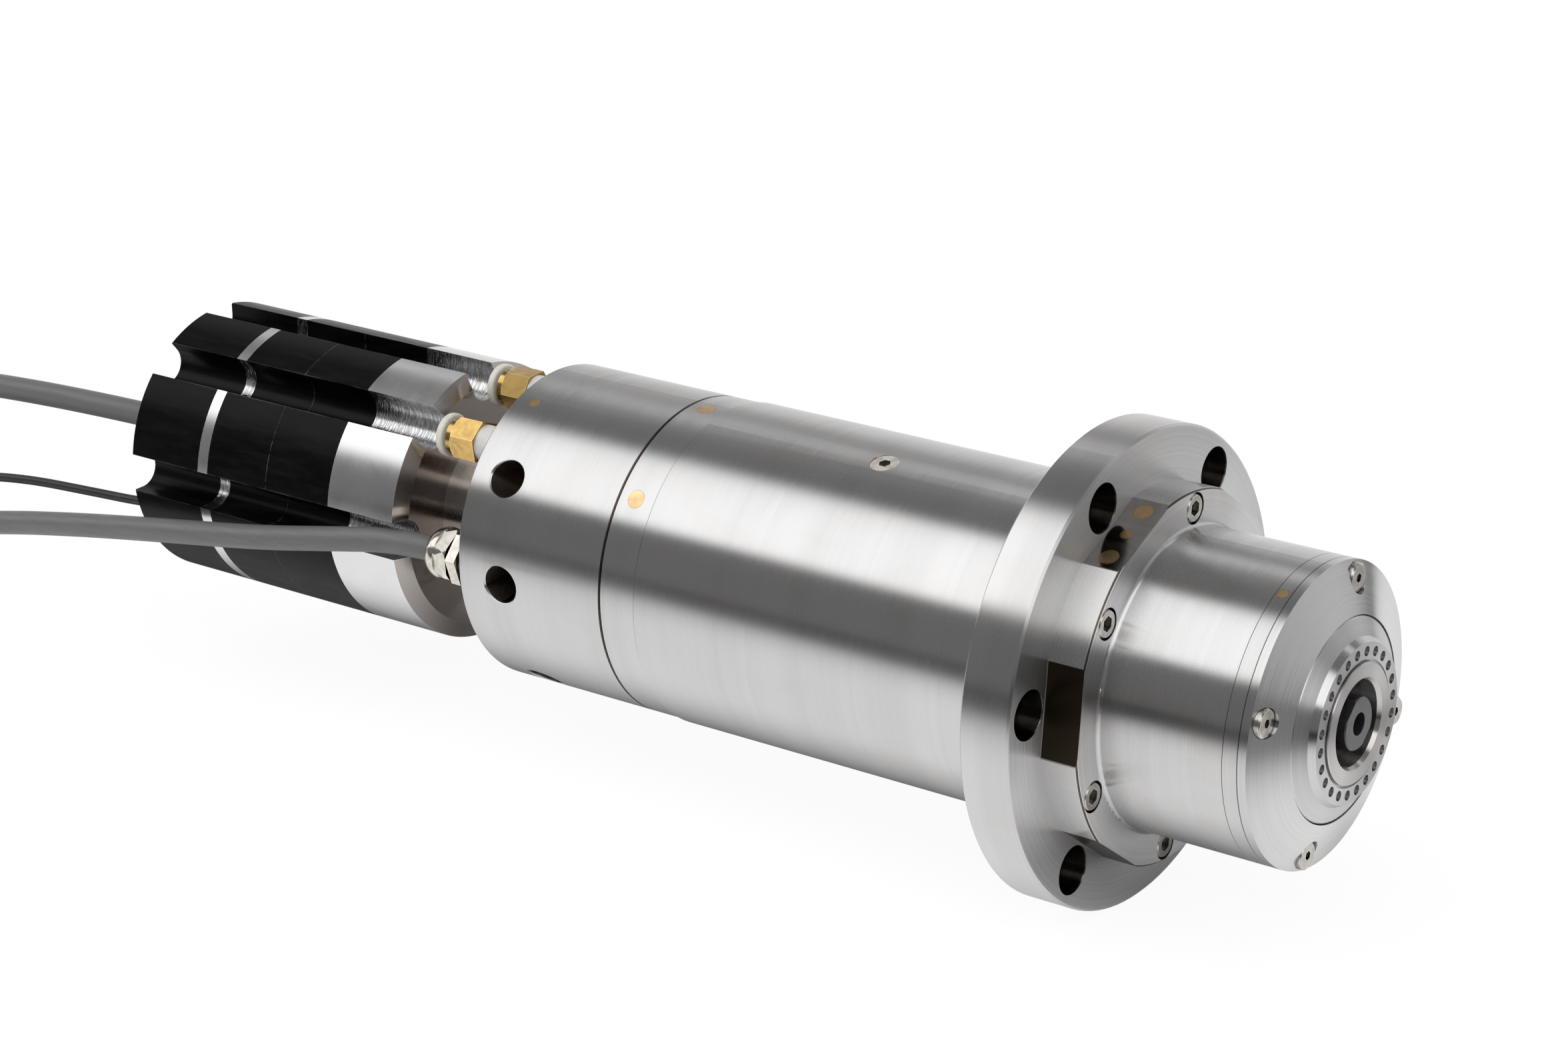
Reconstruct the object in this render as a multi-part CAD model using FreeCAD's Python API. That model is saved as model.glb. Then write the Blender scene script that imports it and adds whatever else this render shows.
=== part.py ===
import FreeCAD, Part
import math
import os

from FreeCAD import Vector

# Water-cooled motor spindle with automatic tool change. Millimetres.
# The spindle axis is X, the nose points to +X and +Z is up. The origin is on the axis at the
# flange's rear face. Angles round the axis count from +Z towards +Y.

# How far the whole spindle lies turned about its axis
ROLL = -24.3

# Clearances and fits
SEAT_GAP = 0.05
SCREW_GAP = 0.05
THROUGH_GAP = 0.3
COUNTERBORE_GAP = 0.6
COVER_HEAD_GAP = 0.15
TOUCH_GAP = 0.3
SLIDE_GAP = 0.08
RACE_GAP = 0.06
POCKET_GAP = 0.1

# How far cutting shapes run past the faces that they open
OVERRUN = 1.0

# Mounting flange and main housing
BODY_RADIUS = 60.0
BODY_LENGTH = 155.0
BODY_WALL = 7.0
FLANGE_RIM = 25.0
FLANGE_THICKNESS = 19.0
FLANGE_BOLT_COUNT = 6
FLANGE_BOLT_EDGE = 12.0
FLANGE_BOLT_HOLE = 5.5
FLANGE_COUNTERBORE = 8.75
FLANGE_COUNTERBORE_DEPTH = 11.5
EDGE_CHAMFER = 0.8
SEAM_CHAMFER = 0.3
SPIGOT_INSET = 3.0
SPIGOT_LENGTH = 25.0
# The round walls' seam line is turned clear of the plug screw
HOUSING_SEAM = 15.0

# Front bearing housing: step ring with flats, then the nose barrel
STEP_THICKNESS = 14.2
STEP_FLAT_COUNT = 6
STEP_FLAT_DEPTH = 2.3
STEP_FLAT_GAP = 0.75
STEP_SCREW_COUNT = 6
STEP_SCREW_EDGE = 6.3
STEP_SCREW_OFFSET = 30.0
NOSE_INSET = 6.5
NOSE_FILLET = 1.5
NOSE_LENGTH = 46.8
NOSE_RING_WIDTH = 5.5
COVER_RIM_WIDTH = 3.4
COVER_RIM_STEP = 0.4
COVER_CONE_LENGTH = 6.6
COVER_SCREW_COUNT = 4
COVER_SCREW_EDGE = 6.0
COVER_SCREW_OFFSET = 40.3
COVER_WEB = 3.6

# Balance disc on the shaft nose
DISC_RADIUS = 35.2
DISC_GAP = 0.5
DISC_RING_RADIUS = 28.4
DISC_CONE_RISE = 2.6
DISC_RING_RISE = 2.4
DISC_RING_SLOPE = 0.7
DISC_EDGE = 0.4
DISC_GROOVE_WIDTH = 0.9
DISC_GROOVE_DEPTH = 1.2
BALANCE_HOLE_COUNT = 24
BALANCE_HOLE_CIRCLE = 24.6
BALANCE_HOLE_RADIUS = 1.75
BALANCE_HOLE_DEPTH = 3.0
DRILL_POINT = 1.0
BALANCE_HOLE_OFFSET = 10.0

# Shaft
SHAFT_NOSE_RADIUS = 21.0
SHAFT_PROUD = 0.7
SHAFT_SHOULDER_RADIUS = 25.0
SHAFT_ROTOR_RADIUS = 20.0
SHAFT_STEP = 1.0
SHAFT_EDGE = 0.3
SHAFT_REAR_OVERHANG = 14.0
TAPER_MOUTH_RADIUS = 15.9
TAPER_LARGE_RADIUS = 15.0
TAPER_SMALL_RADIUS = 14.2
TAPER_LENGTH = 16.0
MOUTH_CHAMFER = 1.4
GRIPPER_BORE_RADIUS = 13.4
GRIPPER_BORE_LENGTH = 26.0

# Bearings
FRONT_BORE = 22.5
FRONT_OUTER = 37.5
FRONT_WIDTH = 16.0
FRONT_BALL = 4.4
FRONT_BALL_COUNT = 12
REAR_BORE = 17.5
REAR_OUTER = 31.0
REAR_WIDTH = 14.0
REAR_BALL = 4.0
REAR_BALL_COUNT = 10
RING_LAND = 0.34
RING_SHOULDER = 3.5
FRONT_BEARING_RECESS = 2.0
REAR_BEARING_RECESS = 7.0
CAGE_REACH = 1.6
LOCK_NUT_WIDTH = 8.0
LOCK_NUT_RADIUS = 29.0
REAR_NUT_RADIUS = 24.0
NUT_SLOT_WIDTH = 5.0
NUT_SLOT_DEPTH = 2.5

# Motor and cooling jacket
STATOR_FRONT_GAP = 46.0
STATOR_REAR_GAP = 38.0
JACKET_WALL = 7.0
STATOR_BORE = 27.0
AIR_GAP = 0.5
SLOT_COUNT = 18
SLOT_WIDTH = 4.2
STATOR_YOKE = 7.0
SLOT_MOUTH = 2.0
END_TURN_LENGTH = 20.0
END_TURN_BEVEL = 3.0
SLEEVE_END = 10.0
CHANNEL_COUNT = 7
CHANNEL_DEPTH = 4.0
CHANNEL_RIB = 4.0
CHANNEL_CROSSING = 14.0
SEAL_SECTION = 1.6
SEAL_DEPTH = 2.4
SEAL_SQUEEZE = 0.9

# Rear bearing housing (the narrow band) and the rear manifold ring
REAR_INSET = 0.55
BAND_WIDTH = 16.3
BAND_SPIGOT = 8.0
REAR_HUB_LENGTH = 8.0
REAR_HUB_WALL = 5.0
PRELOAD_SPRING_WIDTH = 2.5
GROOVE_WIDTH = 1.2
GROOVE_DEPTH = 1.0
MANIFOLD_LENGTH = 66.2
MANIFOLD_HUB_GAP = 5.0
MANIFOLD_BACK = 16.0
MANIFOLD_EDGE = 1.6
MANIFOLD_SCREW_COUNT = 4
MANIFOLD_SCREW_EDGE = 7.0
MANIFOLD_SCREW_OFFSET = 25.0
RADIAL_HOLE_RADIUS = 7.2
RADIAL_HOLE_CHAMFER = 0.6
# Angle from the roll and distance from the manifold's back face
RADIAL_HOLES = ((-31.7, 16.6), (-69.7, 20.5), (-120.7, 20.5))

# Release cylinder behind the manifold
NECK_RADIUS = 28.0
NECK_WALL = 7.0
NECK_LENGTH = 33.5
NECK_SPIGOT = 10.0
NECK_SPIGOT_WALL = 5.0
CYLINDER_RIM = 5.2
CYLINDER_WALL = 4.6
FRONT_BLOCK_LENGTH = 35.0
BLOCK_CHAMFER_LENGTH = 3.0
BLOCK_CHAMFER_DEPTH = 6.0
FRONT_STAGE_LENGTH = 32.0
MIDDLE_STAGE_LENGTH = 30.5
BAND_PLATE_THICKNESS = 5.0
REAR_CAP_LENGTH = 35.5
STAGE_WEB = 8.0
FLUTE_RADIUS = 7.4
CAP_EDGE = 0.6
BLEED_RADIUS = 1.2
BLEED_DEPTH = 5.0
BLEED_OFFSET = 3.0
TIE_BOLT_COUNT = 4
TIE_BOLT_EDGE = 7.7
TIE_BOLT_OFFSET = 3.2
TIE_BOLT_GRIP = 18.0
TIE_BOLT_RUNOUT = 2.0
TIE_HEAD_SUNK = 2.0
ROD_RADIUS = 9.5
PISTON_THICKNESS = 9.0
PISTON_CLEARANCE = 2.0
PISTON_SEAL = 2.6
PISTON_SEAL_DEPTH = 2.0
RELEASE_FREE_PLAY = 0.85
PORT_RADIUS = 4.3
PORT_CIRCLE = 28.0
PORT_ANGLES = (65.7, -24.3)

# Tool clamping set in the shaft
DRAWBAR_RADIUS = 5.5
DRAWBAR_OVERHANG = 6.0
NOSE_PIECE_RADIUS = 9.2
NOSE_PIECE_FLAT = 8.2
NOSE_PIECE_LENGTH = 14.2
NOSE_PIECE_CONE = 7.0
NOSE_PIECE_COLLAR = 1.5
NOSE_PIECE_EDGE = 0.4
NOSE_FLAT_ANGLE = -43.0
NOSE_HOLE_RADIUS = 4.0
NOSE_HOLE_DEPTH = 24.0
SPRING_CHAMBER_RADIUS = 13.0
SPRING_OUTER = 12.4
SPRING_INNER = 6.1
SPRING_COUNT = 12
SPRING_PITCH = 5.0
SPRING_THICKNESS = 4.2
SPRING_DISH = 0.7
SPRING_GAP = 0.05
END_NUT_RADIUS = 11.5
END_NUT_LENGTH = 12.0
FINGER_COUNT = 4
FINGER_SPAN = 62.0
FINGER_OUTER = 11.2
FINGER_HOOK = 12.6
FINGER_LENGTH = 28.0
FINGER_FOOT = 3.5
FINGER_FOOT_SLOPE = 1.0
FINGER_THROAT = 1.9
FINGER_TIP_GAP = 0.35
FINGER_TIP_EDGE = 0.5
FINGER_HOOK_LENGTH = 3.2
FINGER_HOOK_SLOPE = 1.8
FINGER_FROM_FLAT = 45.0

# Fittings, glands and plugs on the manifold's back
COOLANT_ANGLES = (22.45, -16.05)
COOLANT_INSET = 11.5
FITTING_HEX = 15.0
FITTING_HEX_LENGTH = 11.3
FITTING_HEX_BEVEL = 0.2
FITTING_TURN = 30.0
FITTING_STAND_OFF = 8.2
FITTING_THREAD = 6.2
FITTING_THREAD_DEPTH = 9.0
FITTING_BARREL = 7.0
FITTING_BARREL_LENGTH = 2.6
FITTING_BORE = 3.0
TUBE_RADIUS = 4.0
TUBE_DEPTH = 14.0
TAPE_THICKNESS = 0.7
RELEASE_RING_RADIUS = 8.2
RELEASE_RING_THICKNESS = 2.8
RELEASE_RING_ROUND = 0.9
RELEASE_RING_WALL = 1.0
RELEASE_RING_TRAVEL = 1.2
RELEASE_SLEEVE_LENGTH = 6.0
GLAND_INSET = 9.5
SIGNAL_GLAND_ANGLE = -67.3
POWER_GLAND_ANGLE = 138.3
GLAND_HEX = 18.4
GLAND_HEX_LENGTH = 4.2
GLAND_BODY_TURN = 12.0
GLAND_NUT_TURN = 26.0
GLAND_THREAD = 7.6
GLAND_THREAD_DEPTH = 9.0
GLAND_NECK_RADIUS = 7.2
GLAND_NECK_LENGTH = 1.0
DOME_HEX_LENGTH = 4.8
DOME_LENGTH = 7.2
DOME_RIM = 0.4
DOME_BEVEL = 0.8
# Where along the dome, and how far up, its curve passes
DOME_BULGE = (0.3, 0.7)
GLAND_SEAL_WALL = 1.6
GLAND_SEAL_SUNK = 0.4

# Brass plugs of the drilled channels
LARGE_PLUG = 3.4
SMALL_PLUG = 2.2
NOSE_RING_PLUG = 1.9
PLUG_DEPTH = 6.0
FLAT_PLUG_SPREAD = 11.6
FLAT_PLUG_FROM_FLANGE = 7.0
BAND_PLUG_ANGLES = (18.6, -27.7)
MANIFOLD_PLUG_FROM_BACK = 9.7
HOUSING_PLUG_RADIUS = 5.2
HOUSING_PLUG_ANGLE = 10.6
HOUSING_PLUG_STATION = 79.1
HOUSING_PLUG_KEY = 4.0
HOUSING_PLUG_KEY_DEPTH = 2.7
HOUSING_PLUG_SINK = 0.3

# Socket screws: head radius, head height, shank radius, key size across flats
M6_SCREW = (5.0, 6.0, 3.0, 5.0)
M5_SCREW = (5.1, 2.6, 2.2, 3.0)
HEAD_CHAMFER = 0.5
STEP_SCREW_SHANK = 17.0
COVER_SCREW_SHANK = 14.0
KEY_DEPTH = 2.6
FULL_KEY_HEAD = 4.0

# Free cables: radii of the cables and of their coils' middle turns
SIGNAL_CABLE = 4.75
POWER_CABLE = 5.25
SENSOR_CABLE = 1.9
SIGNAL_COIL_RADIUS = 47.25
POWER_COIL_RADIUS = 52.75
COIL_STUB = 12.0
CABLE_LIFT = 0.15
BEND_SHARE = 0.45

# How far back and aside from their exits the coils and the sensor's connector lie
SIGNAL_COIL_BACK = 529.8
SIGNAL_CABLE_DRIFT = -9.5
POWER_COIL_BACK = 695.7
POWER_CABLE_DRIFT = 20.0
SENSOR_CABLE_BACK = 261.0

# Connectors: outer sizes, then the shares of the radius and of the length where it steps
SIGNAL_CONNECTOR_RADIUS = 10.0
SIGNAL_CONNECTOR_LENGTH = 52.0
POWER_CONNECTOR_RADIUS = 13.0
POWER_CONNECTOR_LENGTH = 64.0
SENSOR_CONNECTOR_RADIUS = 5.0
SENSOR_CONNECTOR_LENGTH = 34.0
CLAMP_RADIUS = 0.78
CLAMP_END = 0.3
SHELL_RADIUS = 0.88
SHELL_START = 0.34
SHELL_END = 0.6
CONNECTOR_LIP = 1.0
CONNECTOR_TAPER = 2.0
CONNECTOR_EDGE = 1.0
CONNECTOR_WALL = 2.4
CONNECTOR_SOCKET = 7.0

# Position sensor in the rear cap
SENSOR_RADIUS = 4.0
SENSOR_LENGTH = 9.0
SENSOR_INSET = 17.7
SENSOR_THREAD_DEPTH = 6.0
SENSOR_NUT = 11.0
SENSOR_NUT_LENGTH = 3.5

# Stations along the axis, front to rear
X_FLANGE = FLANGE_THICKNESS
X_STEP = X_FLANGE + STEP_THICKNESS
X_NOSE = X_STEP + NOSE_LENGTH
X_NOSE_RING = X_NOSE + NOSE_RING_WIDTH
X_RIM = X_NOSE_RING + COVER_RIM_WIDTH
X_COVER = X_RIM + COVER_CONE_LENGTH
X_DISC = X_COVER + DISC_CONE_RISE + DISC_RING_RISE
X_SHAFT = X_DISC + SHAFT_PROUD
X_BODY = -BODY_LENGTH
X_BAND = X_BODY - BAND_WIDTH
X_MANIFOLD = X_BAND - MANIFOLD_LENGTH
X_NECK = X_MANIFOLD - NECK_LENGTH
X_BLOCK = X_NECK - FRONT_BLOCK_LENGTH
X_FRONT_STAGE = X_BLOCK - FRONT_STAGE_LENGTH
X_MIDDLE_STAGE = X_FRONT_STAGE - MIDDLE_STAGE_LENGTH
X_BAND_PLATE = X_MIDDLE_STAGE - BAND_PLATE_THICKNESS
X_REAR = X_BAND_PLATE - REAR_CAP_LENGTH

# Radii that follow from the body's
BODY_BORE = BODY_RADIUS - BODY_WALL
FLANGE_RADIUS = BODY_RADIUS + FLANGE_RIM
FLANGE_BOLT_CIRCLE = FLANGE_RADIUS - FLANGE_BOLT_EDGE
STEP_FLAT_DISTANCE = FLANGE_BOLT_CIRCLE - FLANGE_COUNTERBORE - STEP_FLAT_GAP
STEP_RADIUS = STEP_FLAT_DISTANCE + STEP_FLAT_DEPTH
STEP_SCREW_CIRCLE = STEP_RADIUS - STEP_SCREW_EDGE
NOSE_RADIUS = STEP_SCREW_CIRCLE - NOSE_INSET
SPIGOT_RADIUS = NOSE_RADIUS - SPIGOT_INSET
COVER_SCREW_CIRCLE = NOSE_RADIUS - COVER_SCREW_EDGE
COVER_INNER_RADIUS = DISC_RADIUS + DISC_GAP
STATOR_RADIUS = BODY_BORE - JACKET_WALL
SLOT_DEPTH = STATOR_RADIUS - STATOR_YOKE - SLOT_MOUTH - STATOR_BORE
REAR_RADIUS = BODY_RADIUS - REAR_INSET
MANIFOLD_BORE = REAR_OUTER + REAR_HUB_WALL + MANIFOLD_HUB_GAP
MANIFOLD_SCREW_CIRCLE = NECK_RADIUS + MANIFOLD_SCREW_EDGE
COOLANT_CIRCLE = BODY_RADIUS - COOLANT_INSET
GLAND_CIRCLE = BODY_RADIUS - GLAND_INSET
CYLINDER_RADIUS = COOLANT_CIRCLE + CYLINDER_RIM
CYLINDER_BORE = COOLANT_CIRCLE - FLUTE_RADIUS - CYLINDER_WALL
TIE_BOLT_CIRCLE = CYLINDER_RADIUS - TIE_BOLT_EDGE
SENSOR_CIRCLE = CYLINDER_RADIUS - SENSOR_INSET
FLOOR = -FLANGE_RADIUS

# Places inside
X_SPIGOT = X_FLANGE - SPIGOT_LENGTH
X_FRONT_BEARINGS = X_NOSE - FRONT_BEARING_RECESS
X_BEARING_SHOULDER = X_FRONT_BEARINGS - 2.0 * FRONT_WIDTH
X_FRONT_NUT = X_BEARING_SHOULDER - LOCK_NUT_WIDTH
X_STATOR = X_FLANGE - STATOR_FRONT_GAP
X_STATOR_REAR = X_BODY + STATOR_REAR_GAP
X_REAR_BEARING = X_BODY - REAR_BEARING_RECESS
X_REAR_BEARING_BACK = X_REAR_BEARING - REAR_WIDTH
X_REAR_NUT = X_REAR_BEARING_BACK - LOCK_NUT_WIDTH
X_SHAFT_REAR = X_REAR_NUT - SHAFT_REAR_OVERHANG
X_DRAWBAR_REAR = X_SHAFT_REAR - DRAWBAR_OVERHANG
X_END_NUT = X_DRAWBAR_REAR + END_NUT_LENGTH
X_SPRING_FRONT = X_END_NUT + SPRING_COUNT * SPRING_PITCH
X_GRIPPER_BORE = X_SHAFT - MOUTH_CHAMFER - TAPER_LENGTH
X_FINGER_REAR = X_GRIPPER_BORE - GRIPPER_BORE_LENGTH + TOUCH_GAP
X_FINGER_TIP = X_FINGER_REAR + FINGER_LENGTH
X_NOSE_CONE = X_SHAFT - NOSE_PIECE_LENGTH
AXIS = Vector(1, 0, 0)
ORIGIN = Vector(0, 0, 0)
# Lengths closer than this are taken as equal
SAME = 1e-6


# Shape helpers

def at(x, radius, angle):
    """Point at a station, a radius and an angle counted from +Z towards +Y."""
    turn = math.radians(angle)
    return Vector(x, radius * math.sin(turn), radius * math.cos(turn))


def outward(angle):
    """Unit vector pointing away from the axis at an angle."""
    return at(0, 1.0, angle)


def revolved(profile):
    """Solid of revolution about the axis from (x, radius) corners."""
    points = [Vector(x, 0, radius) for x, radius in profile]
    face = Part.Face(Part.makePolygon(points + points[:1]))
    return face.revolve(ORIGIN, AXIS, 360)


def tube(x_rear, x_front, outer, inner):
    """Plain ring between two stations."""
    ring = Part.makeCylinder(outer, x_front - x_rear, Vector(x_rear, 0, 0), AXIS)
    if inner > 0:
        ring = ring.cut(Part.makeCylinder(inner, x_front - x_rear, Vector(x_rear, 0, 0), AXIS))
    return ring


def rod(x_rear, x_front, radius, circle=0.0, angle=0.0):
    """Cylinder along the axis, set off to a circle at an angle."""
    return Part.makeCylinder(radius, x_front - x_rear, at(x_rear, circle, angle), AXIS)


def radial_rod(x, angle, inner, outer, radius, shift=0.0):
    """Cylinder that points away from the axis, shifted sideways along the tangent."""
    tangent = outward(angle + 90.0)
    start = at(x, inner, angle) + tangent * shift
    return Part.makeCylinder(radius, outer - inner, start, outward(angle))


def hexagon(x_rear, x_front, flats, circle=0.0, angle=0.0, turn=0.0):
    """Hexagonal bar along the axis, given its size across flats."""
    corner = flats / math.sqrt(3.0)
    centre = at(x_rear, circle, angle)
    points = [centre + at(0, corner, turn + 60.0 * step) for step in range(6)]
    face = Part.Face(Part.makePolygon(points + points[:1]))
    return face.extrude(Vector(x_front - x_rear, 0, 0))


def joined(shapes):
    """One solid from overlapping or touching shapes."""
    return shapes[0].fuse(shapes[1:]).removeSplitter()


def around(count, offset):
    """Angles of an even pattern that starts at the roll plus an offset."""
    return [ROLL + offset + 360.0 * step / count for step in range(count)]


def cut_all(shape, tools):
    """Shape less every tool."""
    return shape.cut(tools) if tools else shape


def boxed(x_rear, x_front, angle, inner, outer, width):
    """Bar of rectangular section whose middle lies at an angle."""
    bar = Part.makeBox(x_front - x_rear, width, outer - inner, Vector(x_rear, -width / 2.0, inner))
    bar.rotate(ORIGIN, AXIS, -angle)
    return bar


def socket_screw(x_head, direction, sizes, shank_length, circle, angle):
    """Cap screw: its head's outer face is at x_head and the shank runs along direction."""
    head, height, shank, key = sizes
    centre = at(x_head, circle, angle)
    body = Part.makeCylinder(head, height, centre, Vector(direction, 0, 0))
    body = chamfered_rim(body, centre, head, HEAD_CHAMFER)
    body = body.fuse(Part.makeCylinder(shank, height + shank_length, centre, Vector(direction, 0, 0)))
    low, high = sorted((x_head, x_head + direction * KEY_DEPTH * min(1.0, height / FULL_KEY_HEAD)))
    return body.cut(hexagon(low, high, key, circle, angle, angle))


def chamfered_rim(solid, centre, radius, size):
    """Chamfer the circular edge of the given radius in the plane of the centre."""
    return solid.makeChamfer(size, circular_edges(solid, centre.x, radius))


def circular_edges(solid, x, radius):
    """Circular edges of the given radius in the plane across the axis at x."""
    found = []
    for edge in solid.Edges:
        curve = edge.Curve
        round_edge = isinstance(curve, Part.Circle) and abs(curve.Radius - radius) < SAME
        if round_edge and abs(curve.Center.x - x) < SAME:
            found.append(edge)
    return found


def radial_countersink(x, angle, surface, radius, depth):
    """Cone that opens a radial hole at a round surface."""
    start = at(x, surface - depth, angle)
    return Part.makeCone(radius, radius + 2.0 * depth, 2.0 * depth, start, outward(angle))


def export(node, shape):
    """Write one node, as a solid or as a group of separate solids."""
    if isinstance(shape, (list, tuple)):
        shape = shape[0] if len(shape) == 1 else Part.makeCompound(list(shape))
    shape.exportStep("parts/" + node + ".step")


# Front end

def flats_cutter(x_rear, x_front):
    """Blocks that cut the six flats of the step ring."""
    reach = STEP_RADIUS
    return [boxed(x_rear, x_front, angle, STEP_FLAT_DISTANCE, STEP_FLAT_DISTANCE + reach, reach)
            for angle in around(STEP_FLAT_COUNT, 0.0)]


def flat_plug_places():
    """Shift along the flat and radius of the three plugs in the marked flat."""
    return [(FLAT_PLUG_SPREAD, LARGE_PLUG), (0.0, SMALL_PLUG), (-FLAT_PLUG_SPREAD, LARGE_PLUG)]


def flat_plugs(gap):
    """Plugs, or their holes, in the flat at the roll angle."""
    x = X_FLANGE + FLAT_PLUG_FROM_FLANGE
    return [radial_rod(x, ROLL, STEP_FLAT_DISTANCE - PLUG_DEPTH, STEP_FLAT_DISTANCE, radius + gap, shift)
            for shift, radius in flat_plug_places()]


def nose_ring_plug(gap):
    """Small plug, or its hole, in the nose ring."""
    x = X_NOSE + NOSE_RING_WIDTH / 2.0
    return round_plug(x, ROLL, NOSE_RADIUS, NOSE_RING_PLUG + gap, PLUG_DEPTH)


def round_plug(x, angle, surface, radius, depth):
    """Radial plug whose outer face follows the round surface."""
    plug = radial_rod(x, angle, surface - depth, surface + radius, radius)
    return plug.common(Part.makeCylinder(surface, 4.0 * radius, Vector(x - 2.0 * radius, 0, 0), AXIS))


def main_housing():
    outline = [(X_BODY, BODY_BORE), (X_SPIGOT, BODY_BORE), (X_SPIGOT, SPIGOT_RADIUS),
               (X_FLANGE, SPIGOT_RADIUS), (X_FLANGE, FLANGE_RADIUS - EDGE_CHAMFER),
               (X_FLANGE - EDGE_CHAMFER, FLANGE_RADIUS), (EDGE_CHAMFER, FLANGE_RADIUS),
               (0.0, FLANGE_RADIUS - EDGE_CHAMFER), (0.0, BODY_RADIUS),
               (X_BODY + SEAM_CHAMFER, BODY_RADIUS), (X_BODY, BODY_RADIUS - SEAM_CHAMFER)]
    tools = []
    for angle in around(FLANGE_BOLT_COUNT, 0.0):
        tools.append(rod(-OVERRUN, X_FLANGE, FLANGE_BOLT_HOLE, FLANGE_BOLT_CIRCLE, angle))
        tools.append(rod(X_FLANGE - FLANGE_COUNTERBORE_DEPTH, X_FLANGE + OVERRUN, FLANGE_COUNTERBORE,
                         FLANGE_BOLT_CIRCLE, angle))
    tapped = X_STEP - M6_SCREW[1] - STEP_SCREW_SHANK - OVERRUN
    for angle in around(STEP_SCREW_COUNT, STEP_SCREW_OFFSET):
        tools.append(rod(tapped, X_FLANGE + OVERRUN, M6_SCREW[2] + SCREW_GAP, STEP_SCREW_CIRCLE, angle))
    tools.append(radial_rod(-HOUSING_PLUG_STATION, ROLL + HOUSING_PLUG_ANGLE, BODY_BORE - OVERRUN,
                            BODY_RADIUS + OVERRUN, HOUSING_PLUG_RADIUS + SEAT_GAP))
    shape = revolved(outline)
    shape.rotate(ORIGIN, AXIS, HOUSING_SEAM)
    return cut_all(shape, tools)


def housing_plug_screw():
    """Flat-ended threaded plug with a key hole, its rim sunk just below the housing's surface."""
    x = -HOUSING_PLUG_STATION
    angle = ROLL + HOUSING_PLUG_ANGLE
    top = BODY_RADIUS - HOUSING_PLUG_SINK
    plug = radial_rod(x, angle, BODY_BORE + SEAT_GAP, top, HOUSING_PLUG_RADIUS)
    key = hexagon(0.0, HOUSING_PLUG_KEY_DEPTH + OVERRUN, HOUSING_PLUG_KEY)
    key.rotate(ORIGIN, Vector(0, 1, 0), -90)
    key.rotate(ORIGIN, AXIS, -angle)
    key.translate(at(x, top - HOUSING_PLUG_KEY_DEPTH, angle))
    return plug.cut(key)


def front_bearing_housing():
    shoulder = FRONT_OUTER - RING_SHOULDER
    outline = [(X_SPIGOT, SPIGOT_RADIUS - SEAT_GAP), (X_FLANGE, SPIGOT_RADIUS - SEAT_GAP),
               (X_FLANGE, STEP_RADIUS), (X_STEP - EDGE_CHAMFER, STEP_RADIUS),
               (X_STEP, STEP_RADIUS - EDGE_CHAMFER), (X_STEP, NOSE_RADIUS), (X_NOSE, NOSE_RADIUS),
               (X_NOSE, FRONT_OUTER), (X_BEARING_SHOULDER, FRONT_OUTER),
               (X_BEARING_SHOULDER, shoulder), (X_SPIGOT, shoulder)]
    tools = flats_cutter(X_FLANGE, X_STEP) + flat_plugs(SEAT_GAP)
    for angle in around(STEP_SCREW_COUNT, STEP_SCREW_OFFSET):
        tools.append(rod(X_FLANGE - OVERRUN, X_STEP, M6_SCREW[2] + THROUGH_GAP, STEP_SCREW_CIRCLE, angle))
        tools.append(rod(X_STEP - M6_SCREW[1], X_STEP + NOSE_FILLET + OVERRUN, M6_SCREW[0] + COUNTERBORE_GAP,
                         STEP_SCREW_CIRCLE, angle))
    for angle in around(COVER_SCREW_COUNT, COVER_SCREW_OFFSET):
        tools.append(rod(X_NOSE - COVER_SCREW_SHANK, X_NOSE + OVERRUN, M5_SCREW[2] + SCREW_GAP,
                         COVER_SCREW_CIRCLE, angle))
    shape = revolved(outline)
    shape = shape.makeFillet(NOSE_FILLET, circular_edges(shape, X_STEP, NOSE_RADIUS))
    return cut_all(shape, tools)


def step_ring_screws():
    return [socket_screw(X_STEP, -1, M6_SCREW, STEP_SCREW_SHANK, STEP_SCREW_CIRCLE, angle)
            for angle in around(STEP_SCREW_COUNT, STEP_SCREW_OFFSET)]


def nose_ring():
    """Ring that clamps the bearings' outer rings in the nose barrel."""
    lip = FRONT_OUTER - RING_SHOULDER
    outline = [(X_NOSE, NOSE_RADIUS - SEAM_CHAMFER), (X_NOSE + SEAM_CHAMFER, NOSE_RADIUS),
               (X_NOSE_RING, NOSE_RADIUS), (X_NOSE_RING, lip), (X_FRONT_BEARINGS, lip),
               (X_FRONT_BEARINGS, FRONT_OUTER - SEAT_GAP), (X_NOSE, FRONT_OUTER - SEAT_GAP)]
    tools = [rod(X_FRONT_BEARINGS, X_NOSE_RING + OVERRUN, M5_SCREW[2] + THROUGH_GAP, COVER_SCREW_CIRCLE, angle)
             for angle in around(COVER_SCREW_COUNT, COVER_SCREW_OFFSET)]
    tools.append(nose_ring_plug(SEAT_GAP))
    return cut_all(revolved(outline), tools)


def cover_screw_head():
    """Station of the outer face of the cover screws' heads, just under the cone."""
    return X_NOSE_RING + COVER_WEB + M5_SCREW[1]


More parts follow.
